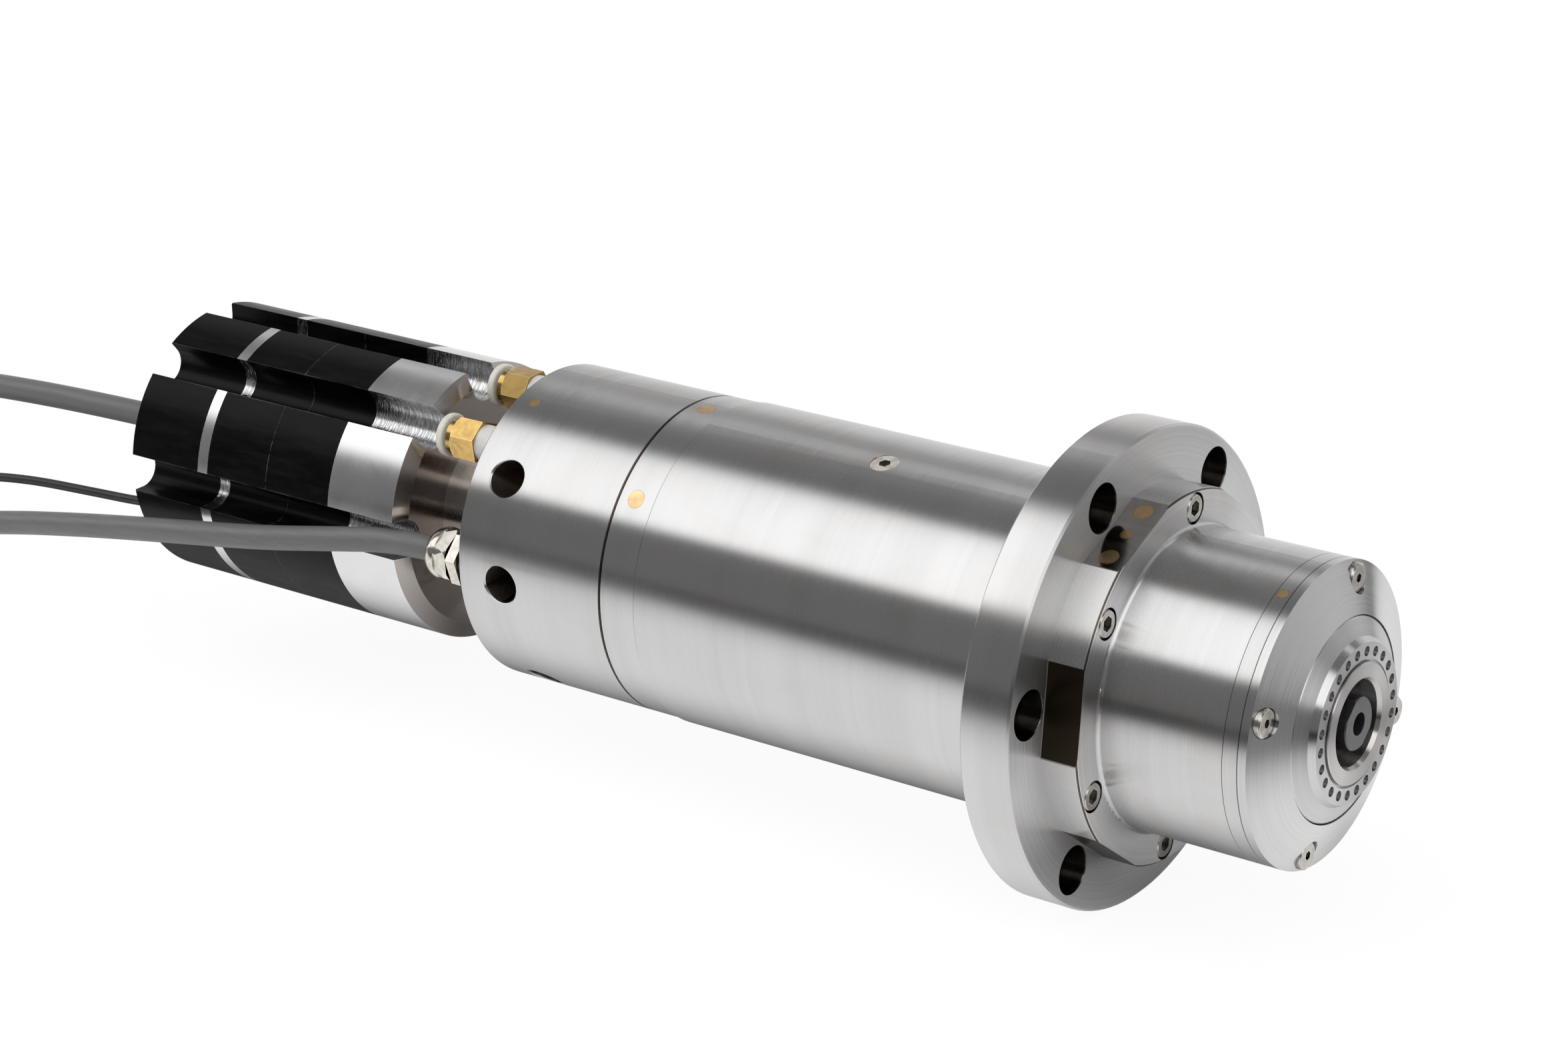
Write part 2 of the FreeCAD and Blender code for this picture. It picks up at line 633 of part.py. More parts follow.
def front_cover():
    """Conical cover with a running gap round the balance disc."""
    web_bore = SHAFT_SHOULDER_RADIUS + DISC_GAP
    x_web = X_NOSE_RING + COVER_WEB
    outline = [(X_NOSE_RING, NOSE_RADIUS - COVER_RIM_STEP), (X_NOSE_RING + COVER_RIM_STEP, NOSE_RADIUS),
               (X_RIM, NOSE_RADIUS), (X_COVER, COVER_INNER_RADIUS), (x_web, COVER_INNER_RADIUS),
               (x_web, web_bore), (X_NOSE_RING, web_bore)]
    tools = []
    for angle in around(COVER_SCREW_COUNT, COVER_SCREW_OFFSET):
        tools.append(rod(X_NOSE_RING - OVERRUN, X_COVER, M5_SCREW[2] + THROUGH_GAP, COVER_SCREW_CIRCLE, angle))
        tools.append(rod(x_web, X_COVER + OVERRUN, M5_SCREW[0] + COVER_HEAD_GAP, COVER_SCREW_CIRCLE, angle))
    return cut_all(revolved(outline), tools)


def cover_screws():
    shank = COVER_WEB + NOSE_RING_WIDTH + COVER_SCREW_SHANK - OVERRUN
    return [socket_screw(cover_screw_head(), -1, M5_SCREW, shank, COVER_SCREW_CIRCLE, angle)
            for angle in around(COVER_SCREW_COUNT, COVER_SCREW_OFFSET)]


# Rotor

def balance_disc():
    """Conical disc on the shaft nose with a raised ring of balancing holes."""
    x_back = X_NOSE_RING + COVER_WEB + DISC_GAP
    x_cone = X_COVER + DISC_CONE_RISE
    bore = SHAFT_NOSE_RADIUS + SEAT_GAP
    outline = [(x_back, bore), (X_DISC - DISC_GROOVE_DEPTH, bore),
               (X_DISC - DISC_GROOVE_DEPTH, bore + DISC_GROOVE_WIDTH),
               (X_DISC, bore + DISC_GROOVE_WIDTH), (X_DISC, DISC_RING_RADIUS - DISC_RING_SLOPE),
               (x_cone, DISC_RING_RADIUS + DISC_RING_SLOPE), (X_COVER, DISC_RADIUS - DISC_EDGE),
               (X_COVER - DISC_EDGE, DISC_RADIUS), (x_back, DISC_RADIUS)]
    tools = []
    floor = X_DISC - BALANCE_HOLE_DEPTH
    for step in range(BALANCE_HOLE_COUNT):
        angle = BALANCE_HOLE_OFFSET + 360.0 * step / BALANCE_HOLE_COUNT
        tools.append(rod(floor, X_DISC + OVERRUN, BALANCE_HOLE_RADIUS, BALANCE_HOLE_CIRCLE, angle))
        tools.append(Part.makeCone(0.0, BALANCE_HOLE_RADIUS, DRILL_POINT,
                                   at(floor - DRILL_POINT, BALANCE_HOLE_CIRCLE, angle), AXIS))
    return cut_all(revolved(outline), tools)


def shaft():
    """Hollow shaft: taper seat and gripper bore in front, spring chamber behind."""
    x_shoulder = X_NOSE_RING + COVER_WEB + DISC_GAP
    x_taper_end = X_GRIPPER_BORE
    x_gripper_end = X_GRIPPER_BORE - GRIPPER_BORE_LENGTH
    guide = DRAWBAR_RADIUS + SLIDE_GAP
    outline = [(X_SHAFT, TAPER_MOUTH_RADIUS), (X_SHAFT - MOUTH_CHAMFER, TAPER_LARGE_RADIUS),
               (x_taper_end, TAPER_SMALL_RADIUS), (x_taper_end - SHAFT_STEP, GRIPPER_BORE_RADIUS),
               (x_gripper_end, GRIPPER_BORE_RADIUS), (x_gripper_end, guide),
               (X_SPRING_FRONT, guide), (X_SPRING_FRONT, SPRING_CHAMBER_RADIUS),
               (X_SHAFT_REAR, SPRING_CHAMBER_RADIUS), (X_SHAFT_REAR, REAR_BORE - SHAFT_STEP),
               (X_REAR_NUT, REAR_BORE - SHAFT_STEP), (X_REAR_NUT, REAR_BORE),
               (X_REAR_BEARING, REAR_BORE), (X_REAR_BEARING, SHAFT_ROTOR_RADIUS - SHAFT_STEP),
               (X_STATOR_REAR, SHAFT_ROTOR_RADIUS - SHAFT_STEP), (X_STATOR_REAR, SHAFT_ROTOR_RADIUS),
               (X_STATOR, SHAFT_ROTOR_RADIUS), (X_STATOR, SHAFT_ROTOR_RADIUS + SHAFT_STEP),
               (X_FRONT_NUT, SHAFT_ROTOR_RADIUS + SHAFT_STEP), (X_FRONT_NUT, FRONT_BORE),
               (X_FRONT_BEARINGS, FRONT_BORE), (X_FRONT_BEARINGS, SHAFT_SHOULDER_RADIUS),
               (x_shoulder, SHAFT_SHOULDER_RADIUS), (x_shoulder, SHAFT_NOSE_RADIUS),
               (X_SHAFT - SHAFT_EDGE, SHAFT_NOSE_RADIUS), (X_SHAFT, SHAFT_NOSE_RADIUS - SHAFT_EDGE)]
    return revolved(outline)


def rotor_core():
    return tube(X_STATOR_REAR, X_STATOR, STATOR_BORE - AIR_GAP, SHAFT_ROTOR_RADIUS + SEAT_GAP)


def slotted_nut(x_rear, x_front, outer, bore):
    """Ring nut with four key slots."""
    tools = [boxed(x_rear, x_front, 90.0 * step, outer - NUT_SLOT_DEPTH, outer + OVERRUN, NUT_SLOT_WIDTH)
             for step in range(4)]
    return cut_all(tube(x_rear, x_front, outer, bore), tools)


def lock_nuts():
    front = slotted_nut(X_FRONT_NUT, X_BEARING_SHOULDER, LOCK_NUT_RADIUS, FRONT_BORE + SEAT_GAP)
    rear = slotted_nut(X_REAR_NUT, X_REAR_BEARING_BACK, REAR_NUT_RADIUS, REAR_BORE + SEAT_GAP)
    return [front, rear]


# Bearings

def race_profile(x_rear, width, surface, pitch, ball, inward):
    """Ring section with a groove for the balls; inward says which way the ring lies."""
    groove = ball + RACE_GAP
    land = pitch - inward * ball * RING_LAND
    half = math.sqrt(groove ** 2 - (ball * RING_LAND) ** 2)
    middle = x_rear + width / 2.0
    start = Vector(middle - half, 0, land)
    floor = Vector(middle, 0, pitch - inward * groove)
    end = Vector(middle + half, 0, land)
    corners = [end, Vector(x_rear + width, 0, land), Vector(x_rear + width, 0, surface),
               Vector(x_rear, 0, surface), Vector(x_rear, 0, land), start]
    edges = [Part.Arc(start, floor, end).toShape()]
    edges += [Part.LineSegment(first, second).toShape() for first, second in zip(corners, corners[1:])]
    return Part.Face(Part.Wire(edges)).revolve(ORIGIN, AXIS, 360)


def bearing_stations():
    """Rear face, width, bore, outer radius, ball radius and ball count of each bearing."""
    front = (FRONT_WIDTH, FRONT_BORE, FRONT_OUTER, FRONT_BALL, FRONT_BALL_COUNT)
    rear = (REAR_WIDTH, REAR_BORE, REAR_OUTER, REAR_BALL, REAR_BALL_COUNT)
    return {"front": [(X_BEARING_SHOULDER,) + front, (X_BEARING_SHOULDER + FRONT_WIDTH,) + front],
            "rear": [(X_REAR_BEARING_BACK,) + rear]}


def outer_rings(place):
    return [race_profile(x, width, outer - SEAT_GAP, (bore + outer) / 2.0, ball, -1)
            for x, width, bore, outer, ball, _ in bearing_stations()[place]]


def inner_rings():
    return [race_profile(x, width, bore + SEAT_GAP, (bore + outer) / 2.0, ball, 1)
            for x, width, bore, outer, ball, _ in bearing_stations()["front"] + bearing_stations()["rear"]]


def balls(place):
    solids = []
    for x, width, bore, outer, ball, count in bearing_stations()[place]:
        for step in range(count):
            centre = at(x + width / 2.0, (bore + outer) / 2.0, 360.0 * step / count)
            solids.append(Part.makeSphere(ball, centre))
    return solids


def cages(place):
    """Ring between the races with a pocket round each ball."""
    solids = []
    for x, width, bore, outer, ball, count in bearing_stations()[place]:
        pitch = (bore + outer) / 2.0
        wall = ball * RING_LAND - TOUCH_GAP
        reach = ball + CAGE_REACH
        middle = x + width / 2.0
        ring = tube(middle - reach, middle + reach, pitch + wall, pitch - wall)
        pockets = [radial_rod(middle, 360.0 * step / count, pitch - wall - OVERRUN, pitch + wall + OVERRUN,
                              ball + POCKET_GAP) for step in range(count)]
        solids.append(cut_all(ring, pockets))
    return solids


# Motor and cooling jacket

def cooling_sleeve():
    """Jacket with ring channels that water crosses through staggered gaps in the ribs."""
    x_front = X_SPIGOT - TOUCH_GAP
    x_rear = X_BODY + BAND_SPIGOT + TOUCH_GAP
    outer = BODY_BORE - SEAT_GAP
    span = (x_front - x_rear - 2.0 * SLEEVE_END - (CHANNEL_COUNT - 1) * CHANNEL_RIB) / CHANNEL_COUNT
    shape = tube(x_rear, x_front, outer, STATOR_RADIUS + SEAT_GAP)
    tools = []
    for step in range(CHANNEL_COUNT):
        start = x_rear + SLEEVE_END + step * (span + CHANNEL_RIB)
        tools.append(tube(start, start + span, outer + OVERRUN, outer - CHANNEL_DEPTH))
        if step < CHANNEL_COUNT - 1:
            side = 180.0 * (step % 2)
            tools.append(boxed(start + span - OVERRUN, start + span + CHANNEL_RIB + OVERRUN, ROLL + side,
                               outer - CHANNEL_DEPTH, outer + OVERRUN, CHANNEL_CROSSING))
    for x in seal_stations():
        tools.append(tube(x - SEAL_SECTION, x + SEAL_SECTION, outer + OVERRUN, outer - SEAL_DEPTH))
    return cut_all(shape, tools)


def seal_stations():
    """Middle of the two seal grooves at the jacket's ends."""
    return [X_SPIGOT - TOUCH_GAP - SLEEVE_END / 2.0, X_BODY + BAND_SPIGOT + TOUCH_GAP + SLEEVE_END / 2.0]


def jacket_seals():
    """Seal rings, squeezed to a share of their grooves' section."""
    outer = BODY_BORE - SEAT_GAP
    half = SEAL_SQUEEZE * SEAL_SECTION
    depth = SEAL_SQUEEZE * SEAL_DEPTH
    return [tube(x - half, x + half, outer, outer - depth) for x in seal_stations()]


def stator_core():
    shape = tube(X_STATOR_REAR, X_STATOR, STATOR_RADIUS, STATOR_BORE)
    slots = [boxed(X_STATOR_REAR, X_STATOR, 360.0 * step / SLOT_COUNT, STATOR_BORE + SLOT_MOUTH,
                   STATOR_BORE + SLOT_MOUTH + SLOT_DEPTH, SLOT_WIDTH) for step in range(SLOT_COUNT)]
    return cut_all(shape, slots)


def stator_windings():
    """Slot bars joined by the two end turns."""
    inner = STATOR_BORE + SLOT_MOUTH + SEAT_GAP
    outer = STATOR_BORE + SLOT_MOUTH + SLOT_DEPTH - SEAT_GAP
    shapes = []
    for start, end in ((X_STATOR + TOUCH_GAP, X_STATOR + END_TURN_LENGTH),
                       (X_STATOR_REAR - END_TURN_LENGTH, X_STATOR_REAR - TOUCH_GAP)):
        ends = [(start, inner), (start, outer), (start + END_TURN_BEVEL, outer + END_TURN_BEVEL),
                (end - END_TURN_BEVEL, outer + END_TURN_BEVEL), (end, outer), (end, inner)]
        shapes.append(revolved(ends))
    for step in range(SLOT_COUNT):
        shapes.append(boxed(X_STATOR_REAR - TOUCH_GAP - OVERRUN, X_STATOR + TOUCH_GAP + OVERRUN,
                            360.0 * step / SLOT_COUNT, inner, outer, SLOT_WIDTH - 2.0 * SEAT_GAP))
    return joined(shapes)


# Rear of the spindle

def rear_bearing_housing():
    """Narrow visible band with a spigot in front and the bearing hub behind."""
    hub = REAR_OUTER + REAR_HUB_WALL
    x_hub = X_REAR_BEARING_BACK - REAR_HUB_LENGTH
    step_bore = REAR_OUTER - RING_SHOULDER
    outline = [(X_BODY + BAND_SPIGOT, step_bore), (X_BODY + BAND_SPIGOT, BODY_BORE - SEAT_GAP),
               (X_BODY, BODY_BORE - SEAT_GAP), (X_BODY, REAR_RADIUS - SEAM_CHAMFER),
               (X_BODY - SEAM_CHAMFER, REAR_RADIUS), (X_BAND + GROOVE_WIDTH, REAR_RADIUS),
               (X_BAND + GROOVE_WIDTH, REAR_RADIUS - GROOVE_DEPTH), (X_BAND, REAR_RADIUS - GROOVE_DEPTH),
               (X_BAND, hub), (x_hub, hub), (x_hub, REAR_OUTER), (X_REAR_BEARING, REAR_OUTER),
               (X_REAR_BEARING, step_bore)]
    tools = [round_plug(X_BODY - BAND_WIDTH / 2.0, ROLL + angle, REAR_RADIUS, LARGE_PLUG + SEAT_GAP, PLUG_DEPTH)
             for angle in BAND_PLUG_ANGLES]
    return cut_all(revolved(outline), tools)


def preload_spring():
    """Spring ring behind the rear bearing's outer ring."""
    x_front = X_REAR_BEARING_BACK
    x_rear = x_front - PRELOAD_SPRING_WIDTH
    return tube(x_rear, x_front, REAR_OUTER - SEAT_GAP, REAR_OUTER - RING_SHOULDER)


def back_hole(circle, angle, radius, depth):
    """Hole from the manifold's back face."""
    return rod(X_MANIFOLD - OVERRUN, X_MANIFOLD + depth, radius, circle, angle)


def gland_places():
    """Angle and cable radius of the signal gland and of the power gland."""
    return [(ROLL + SIGNAL_GLAND_ANGLE, SIGNAL_CABLE), (ROLL + POWER_GLAND_ANGLE, POWER_CABLE)]


def rear_manifold():
    """Cup-shaped rear ring with coolant ports, gland holes and radial holes."""
    radius = REAR_RADIUS
    bore = NECK_RADIUS - NECK_WALL
    outline = [(X_BAND, MANIFOLD_BORE), (X_BAND, radius), (X_MANIFOLD + MANIFOLD_EDGE, radius),
               (X_MANIFOLD, radius - MANIFOLD_EDGE), (X_MANIFOLD, bore),
               (X_MANIFOLD + MANIFOLD_BACK, bore), (X_MANIFOLD + MANIFOLD_BACK, MANIFOLD_BORE)]
    tools = []
    for offset, from_back in RADIAL_HOLES:
        x_hole = X_MANIFOLD + from_back
        tools.append(radial_rod(x_hole, ROLL + offset, MANIFOLD_BORE - OVERRUN, radius + OVERRUN,
                                RADIAL_HOLE_RADIUS))
        tools.append(radial_countersink(x_hole, ROLL + offset, radius, RADIAL_HOLE_RADIUS, RADIAL_HOLE_CHAMFER))
    for offset in COOLANT_ANGLES:
        tools.append(back_hole(COOLANT_CIRCLE, ROLL + offset, FITTING_THREAD + SEAT_GAP,
                               FITTING_THREAD_DEPTH + OVERRUN))
    for angle, _ in gland_places():
        tools.append(back_hole(GLAND_CIRCLE, angle, GLAND_THREAD + SEAT_GAP, GLAND_THREAD_DEPTH + OVERRUN))
    for angle in around(MANIFOLD_SCREW_COUNT, MANIFOLD_SCREW_OFFSET):
        tools.append(rod(X_MANIFOLD - OVERRUN, X_MANIFOLD + MANIFOLD_BACK + OVERRUN,
                         M6_SCREW[2] + SCREW_GAP, MANIFOLD_SCREW_CIRCLE, angle))
        tools.append(back_hole(MANIFOLD_SCREW_CIRCLE, angle, M6_SCREW[0] + COUNTERBORE_GAP, M6_SCREW[1]))
    x_plug = X_MANIFOLD + MANIFOLD_PLUG_FROM_BACK
    tools.append(round_plug(x_plug, ROLL, radius, SMALL_PLUG + SEAT_GAP, PLUG_DEPTH))
    return cut_all(revolved(outline), tools)


def manifold_screws():
    shank = MANIFOLD_BACK - M6_SCREW[1]
    return [socket_screw(X_MANIFOLD, 1, M6_SCREW, shank, MANIFOLD_SCREW_CIRCLE, angle)
            for angle in around(MANIFOLD_SCREW_COUNT, MANIFOLD_SCREW_OFFSET)]


def brass_plugs():
    plugs = flat_plugs(0.0)
    plugs.append(nose_ring_plug(0.0))
    plugs += [round_plug(X_BODY - BAND_WIDTH / 2.0, ROLL + angle, REAR_RADIUS, LARGE_PLUG, PLUG_DEPTH)
              for angle in BAND_PLUG_ANGLES]
    plugs.append(round_plug(X_MANIFOLD + MANIFOLD_PLUG_FROM_BACK, ROLL, REAR_RADIUS, SMALL_PLUG, PLUG_DEPTH))
    return plugs


# Coolant fittings and cable glands

def fitting_stations():
    """Front and rear of the hexagon, rear of the barrel."""
    hex_front = X_MANIFOLD - FITTING_STAND_OFF
    hex_rear = hex_front - FITTING_HEX_LENGTH
    return hex_front, hex_rear, hex_rear - FITTING_BARREL_LENGTH


def coolant_fitting(offset):
    """Hexagon body with a taper thread in front and a tube socket behind."""
    angle = ROLL + offset
    hex_front, hex_rear, barrel = fitting_stations()
    sleeve = TUBE_RADIUS + RELEASE_RING_WALL
    body = hexagon(hex_rear, hex_front, FITTING_HEX, COOLANT_CIRCLE, angle, angle + FITTING_TURN)
    bevel = FITTING_HEX / 2.0 + FITTING_HEX_BEVEL
    cone = Part.makeCone(bevel, bevel + FITTING_HEX_LENGTH, FITTING_HEX_LENGTH,
                         at(hex_rear, COOLANT_CIRCLE, angle), AXIS)
    body = body.common(cone)
    parts = [body, rod(barrel, hex_rear + OVERRUN, FITTING_BARREL, COOLANT_CIRCLE, angle),
             rod(hex_front - OVERRUN, X_MANIFOLD + FITTING_THREAD_DEPTH, FITTING_THREAD, COOLANT_CIRCLE, angle)]
    socket_end = barrel + TUBE_DEPTH
    through = X_MANIFOLD + FITTING_THREAD_DEPTH + OVERRUN
    tools = [rod(barrel - OVERRUN, barrel + RELEASE_SLEEVE_LENGTH + RELEASE_RING_TRAVEL + TOUCH_GAP,
                 sleeve + SLIDE_GAP, COOLANT_CIRCLE, angle),
             rod(barrel - OVERRUN, socket_end, TUBE_RADIUS, COOLANT_CIRCLE, angle),
             rod(socket_end - OVERRUN, through, FITTING_BORE, COOLANT_CIRCLE, angle)]
    return cut_all(joined(parts), tools)


def thread_tape(offset):
    """White tape on the exposed part of the fitting's thread."""
    angle = ROLL + offset
    outer = rod(X_MANIFOLD - FITTING_STAND_OFF, X_MANIFOLD, FITTING_THREAD + TAPE_THICKNESS,
                COOLANT_CIRCLE, angle)
    return outer.cut(rod(X_MANIFOLD - FITTING_STAND_OFF, X_MANIFOLD, FITTING_THREAD,
                         COOLANT_CIRCLE, angle))


def release_ring(offset):
    """Collet ring that is pressed in to free the tube."""
    angle = ROLL + offset
    barrel = fitting_stations()[2]
    x_front = barrel - RELEASE_RING_TRAVEL
    x_rear = x_front - RELEASE_RING_THICKNESS
    sleeve = TUBE_RADIUS + RELEASE_RING_WALL
    flange = rod(x_rear, x_front, RELEASE_RING_RADIUS, COOLANT_CIRCLE, angle)
    flange = flange.makeFillet(RELEASE_RING_ROUND, [edge for edge in flange.Edges if edge.Closed])
    body = flange.fuse(rod(x_front - OVERRUN, barrel + RELEASE_SLEEVE_LENGTH, sleeve, COOLANT_CIRCLE, angle))
    return body.cut(rod(x_rear - OVERRUN, barrel + RELEASE_SLEEVE_LENGTH + OVERRUN, TUBE_RADIUS + SEAT_GAP,
                        COOLANT_CIRCLE, angle))


def gland_stations():
    """Rear face of the body hexagon, front and rear of the dome nut."""
    hex_rear = X_MANIFOLD - GLAND_HEX_LENGTH
    nut_front = hex_rear - GLAND_NECK_LENGTH
    return hex_rear, nut_front, nut_front - DOME_HEX_LENGTH - DOME_LENGTH


def gland_body(angle, cable):
    hex_rear, nut_front, _ = gland_stations()
    thread_end = X_MANIFOLD + GLAND_THREAD_DEPTH
    parts = [hexagon(hex_rear, X_MANIFOLD, GLAND_HEX, GLAND_CIRCLE, angle, angle + GLAND_BODY_TURN),
             rod(X_MANIFOLD - OVERRUN, thread_end, GLAND_THREAD, GLAND_CIRCLE, angle),
             rod(nut_front - OVERRUN, hex_rear + OVERRUN, GLAND_NECK_RADIUS, GLAND_CIRCLE, angle)]
    hole = rod(nut_front - 2.0 * OVERRUN, thread_end + OVERRUN, cable + SEAT_GAP, GLAND_CIRCLE, angle)
    return joined(parts).cut(hole)


def dome_section(cable):
    """Half section of a dome nut, set on the spindle axis."""
    _, nut_front, dome_rear = gland_stations()
    corner = GLAND_HEX / math.sqrt(3.0)
    mouth = cable + GLAND_SEAL_WALL
    rim = mouth + DOME_RIM
    shoulder = corner - DOME_BEVEL
    along, up = DOME_BULGE
    points = [Vector(dome_rear, 0, mouth), Vector(dome_rear, 0, rim),
              Vector(dome_rear + DOME_LENGTH, 0, shoulder), Vector(nut_front - DOME_BEVEL, 0, corner),
              Vector(nut_front, 0, shoulder), Vector(nut_front, 0, mouth)]
    middle = Vector(dome_rear + along * DOME_LENGTH, 0, rim + up * (shoulder - rim))
    edges = [Part.LineSegment(points[0], points[1]).toShape(),
             Part.Arc(points[1], middle, points[2]).toShape()]
    edges += [Part.LineSegment(first, second).toShape()
              for first, second in zip(points[2:], points[3:] + points[:1])]
    return Part.Face(Part.Wire(edges))


def gland_nut(angle, cable):
    """Dome nut: a hexagon that turns into a rounded dome round the cable."""
    _, nut_front, dome_rear = gland_stations()
    flats_start = dome_rear + DOME_LENGTH - OVERRUN
    flats = hexagon(flats_start, nut_front, GLAND_HEX, 0.0, 0.0, angle + GLAND_NUT_TURN)
    envelope = flats.fuse(tube(dome_rear, flats_start, GLAND_HEX, 0.0))
    nut = dome_section(cable).revolve(ORIGIN, AXIS, 360).common(envelope)
    nut.translate(at(0, GLAND_CIRCLE, angle))
    return nut.cut(rod(nut_front - OVERRUN, nut_front + OVERRUN, GLAND_NECK_RADIUS + SEAT_GAP,
                       GLAND_CIRCLE, angle))


def gland_seal(angle, cable):
    """Rubber sleeve squeezed round the cable inside the dome nut."""
    _, nut_front, dome_rear = gland_stations()
    ring = rod(dome_rear + GLAND_SEAL_SUNK, nut_front - OVERRUN - SEAT_GAP, cable + GLAND_SEAL_WALL - SEAT_GAP,
               GLAND_CIRCLE, angle)
    return ring.cut(rod(dome_rear, nut_front, cable + SEAT_GAP, GLAND_CIRCLE, angle))


# Release cylinder

def flute_angles():
    """Flutes leave room for the coolant tubes and for both cables."""
    return [ROLL + COOLANT_ANGLES[0], ROLL + COOLANT_ANGLES[1], ROLL + SIGNAL_GLAND_ANGLE,
            ROLL + POWER_GLAND_ANGLE]


def flutes(x_rear, x_front):
    """Round-bottomed grooves along the whole cylinder."""
    tools = []
    for angle in flute_angles():
        groove = rod(x_rear - OVERRUN, x_front + OVERRUN, FLUTE_RADIUS, COOLANT_CIRCLE, angle)
        mouth = boxed(x_rear - OVERRUN, x_front + OVERRUN, angle, COOLANT_CIRCLE, CYLINDER_RADIUS + OVERRUN,
                      2.0 * FLUTE_RADIUS)
        tools.append(groove.fuse(mouth))
    return tools


def tie_holes(x_rear, x_front, radius):
    return [rod(x_rear, x_front, radius, TIE_BOLT_CIRCLE, angle)
            for angle in around(TIE_BOLT_COUNT, TIE_BOLT_OFFSET)]


def cylinder_neck():
    """Tube that carries the cylinder on the manifold's back."""
    bore = NECK_RADIUS - NECK_WALL
    outline = [(X_NECK, NECK_RADIUS), (X_MANIFOLD, NECK_RADIUS), (X_MANIFOLD, bore - SEAT_GAP),
               (X_MANIFOLD + NECK_SPIGOT, bore - SEAT_GAP), (X_MANIFOLD + NECK_SPIGOT, bore - NECK_SPIGOT_WALL),
               (X_NECK - NECK_SPIGOT, bore - NECK_SPIGOT_WALL), (X_NECK - NECK_SPIGOT, bore - SEAT_GAP),
               (X_NECK, bore - SEAT_GAP)]
    return revolved(outline)


def front_block():
    """Silver front head with a shallow cone round its front face."""
    bore = ROD_RADIUS + SLIDE_GAP
    seat = NECK_RADIUS - NECK_WALL
    x_seat = X_NECK - NECK_SPIGOT
    outline = [(X_BLOCK, bore), (X_BLOCK, CYLINDER_RADIUS), (X_NECK - BLOCK_CHAMFER_LENGTH, CYLINDER_RADIUS),
               (X_NECK, CYLINDER_RADIUS - BLOCK_CHAMFER_DEPTH), (X_NECK, seat), (x_seat, seat),
               (x_seat, bore)]
    tools = flutes(X_BLOCK, X_NECK)
    tools += tie_holes(X_BLOCK - OVERRUN, X_BLOCK + TIE_BOLT_GRIP + TIE_BOLT_RUNOUT, M6_SCREW[2] + SCREW_GAP)
    return cut_all(revolved(outline), tools)


def cylinder_stage(x_rear, x_front):
    """Cup with a web behind that the rod passes through."""
    bore = ROD_RADIUS + SLIDE_GAP
    x_web = x_rear + STAGE_WEB
    outline = [(x_rear, bore), (x_rear, CYLINDER_RADIUS), (x_front, CYLINDER_RADIUS),
               (x_front, CYLINDER_BORE), (x_web, CYLINDER_BORE), (x_web, bore)]
    tools = flutes(x_rear, x_front)
    tools += tie_holes(x_rear - OVERRUN, x_front + OVERRUN, M6_SCREW[2] + SCREW_GAP)
    return cut_all(revolved(outline), tools)


def band_plate():
    shape = tube(X_BAND_PLATE, X_MIDDLE_STAGE, CYLINDER_RADIUS, ROD_RADIUS + SLIDE_GAP)
    tools = flutes(X_BAND_PLATE, X_MIDDLE_STAGE)
    tools += tie_holes(X_BAND_PLATE - OVERRUN, X_MIDDLE_STAGE + OVERRUN, M6_SCREW[2] + SCREW_GAP)
    bleed = ROLL + COOLANT_ANGLES[1] - BLEED_OFFSET
    floor = COOLANT_CIRCLE - FLUTE_RADIUS
    tools.append(radial_rod((X_BAND_PLATE + X_MIDDLE_STAGE) / 2.0, bleed, floor - BLEED_DEPTH,
                            COOLANT_CIRCLE, BLEED_RADIUS))
    return cut_all(shape, tools)


def rear_cap():
    """Closed rear chamber with two air ports, sunk tie bolt heads and a sensor hole."""
    x_floor = X_REAR + STAGE_WEB
    outline = [(X_REAR, 0.0), (X_REAR, CYLINDER_RADIUS - CAP_EDGE), (X_REAR + CAP_EDGE, CYLINDER_RADIUS),
               (X_BAND_PLATE, CYLINDER_RADIUS), (X_BAND_PLATE, CYLINDER_BORE), (x_floor, CYLINDER_BORE),
               (x_floor, 0.0)]
    tools = flutes(X_REAR, X_BAND_PLATE)
    tools += tie_holes(X_REAR - OVERRUN, X_BAND_PLATE + OVERRUN, M6_SCREW[2] + SCREW_GAP)
    tools += tie_holes(X_REAR - OVERRUN, X_REAR + TIE_HEAD_SUNK + M6_SCREW[1], M6_SCREW[0] + COUNTERBORE_GAP)
    for angle in PORT_ANGLES:
        tools.append(rod(X_REAR - OVERRUN, x_floor + OVERRUN, PORT_RADIUS, PORT_CIRCLE, angle))
    tools.append(rod(X_REAR - OVERRUN, X_REAR + SENSOR_THREAD_DEPTH, SENSOR_RADIUS + SEAT_GAP,
                     SENSOR_CIRCLE, 180.0))
    return cut_all(revolved(outline), tools)


def tie_bolts():
    """Long bolts from the rear cap into the front block."""
    x_head = X_REAR + TIE_HEAD_SUNK
    shank = X_BLOCK + TIE_BOLT_GRIP - x_head - M6_SCREW[1]
    return [socket_screw(x_head, 1, M6_SCREW, shank, TIE_BOLT_CIRCLE, angle)
            for angle in around(TIE_BOLT_COUNT, TIE_BOLT_OFFSET)]


def piston_stations():
    """Rear faces of the three pistons at rest, each just off its web."""
    floors = (X_FRONT_STAGE + STAGE_WEB, X_MIDDLE_STAGE + STAGE_WEB, X_REAR + STAGE_WEB)
    return [floor + PISTON_CLEARANCE for floor in floors]


def release_rod():
    """Rod through all stages that pushes on the drawbar's end."""
    x_tip = X_DRAWBAR_REAR - RELEASE_FREE_PLAY
    x_end = piston_stations()[2]
    return tube(x_end, x_tip, ROD_RADIUS, 0.0)


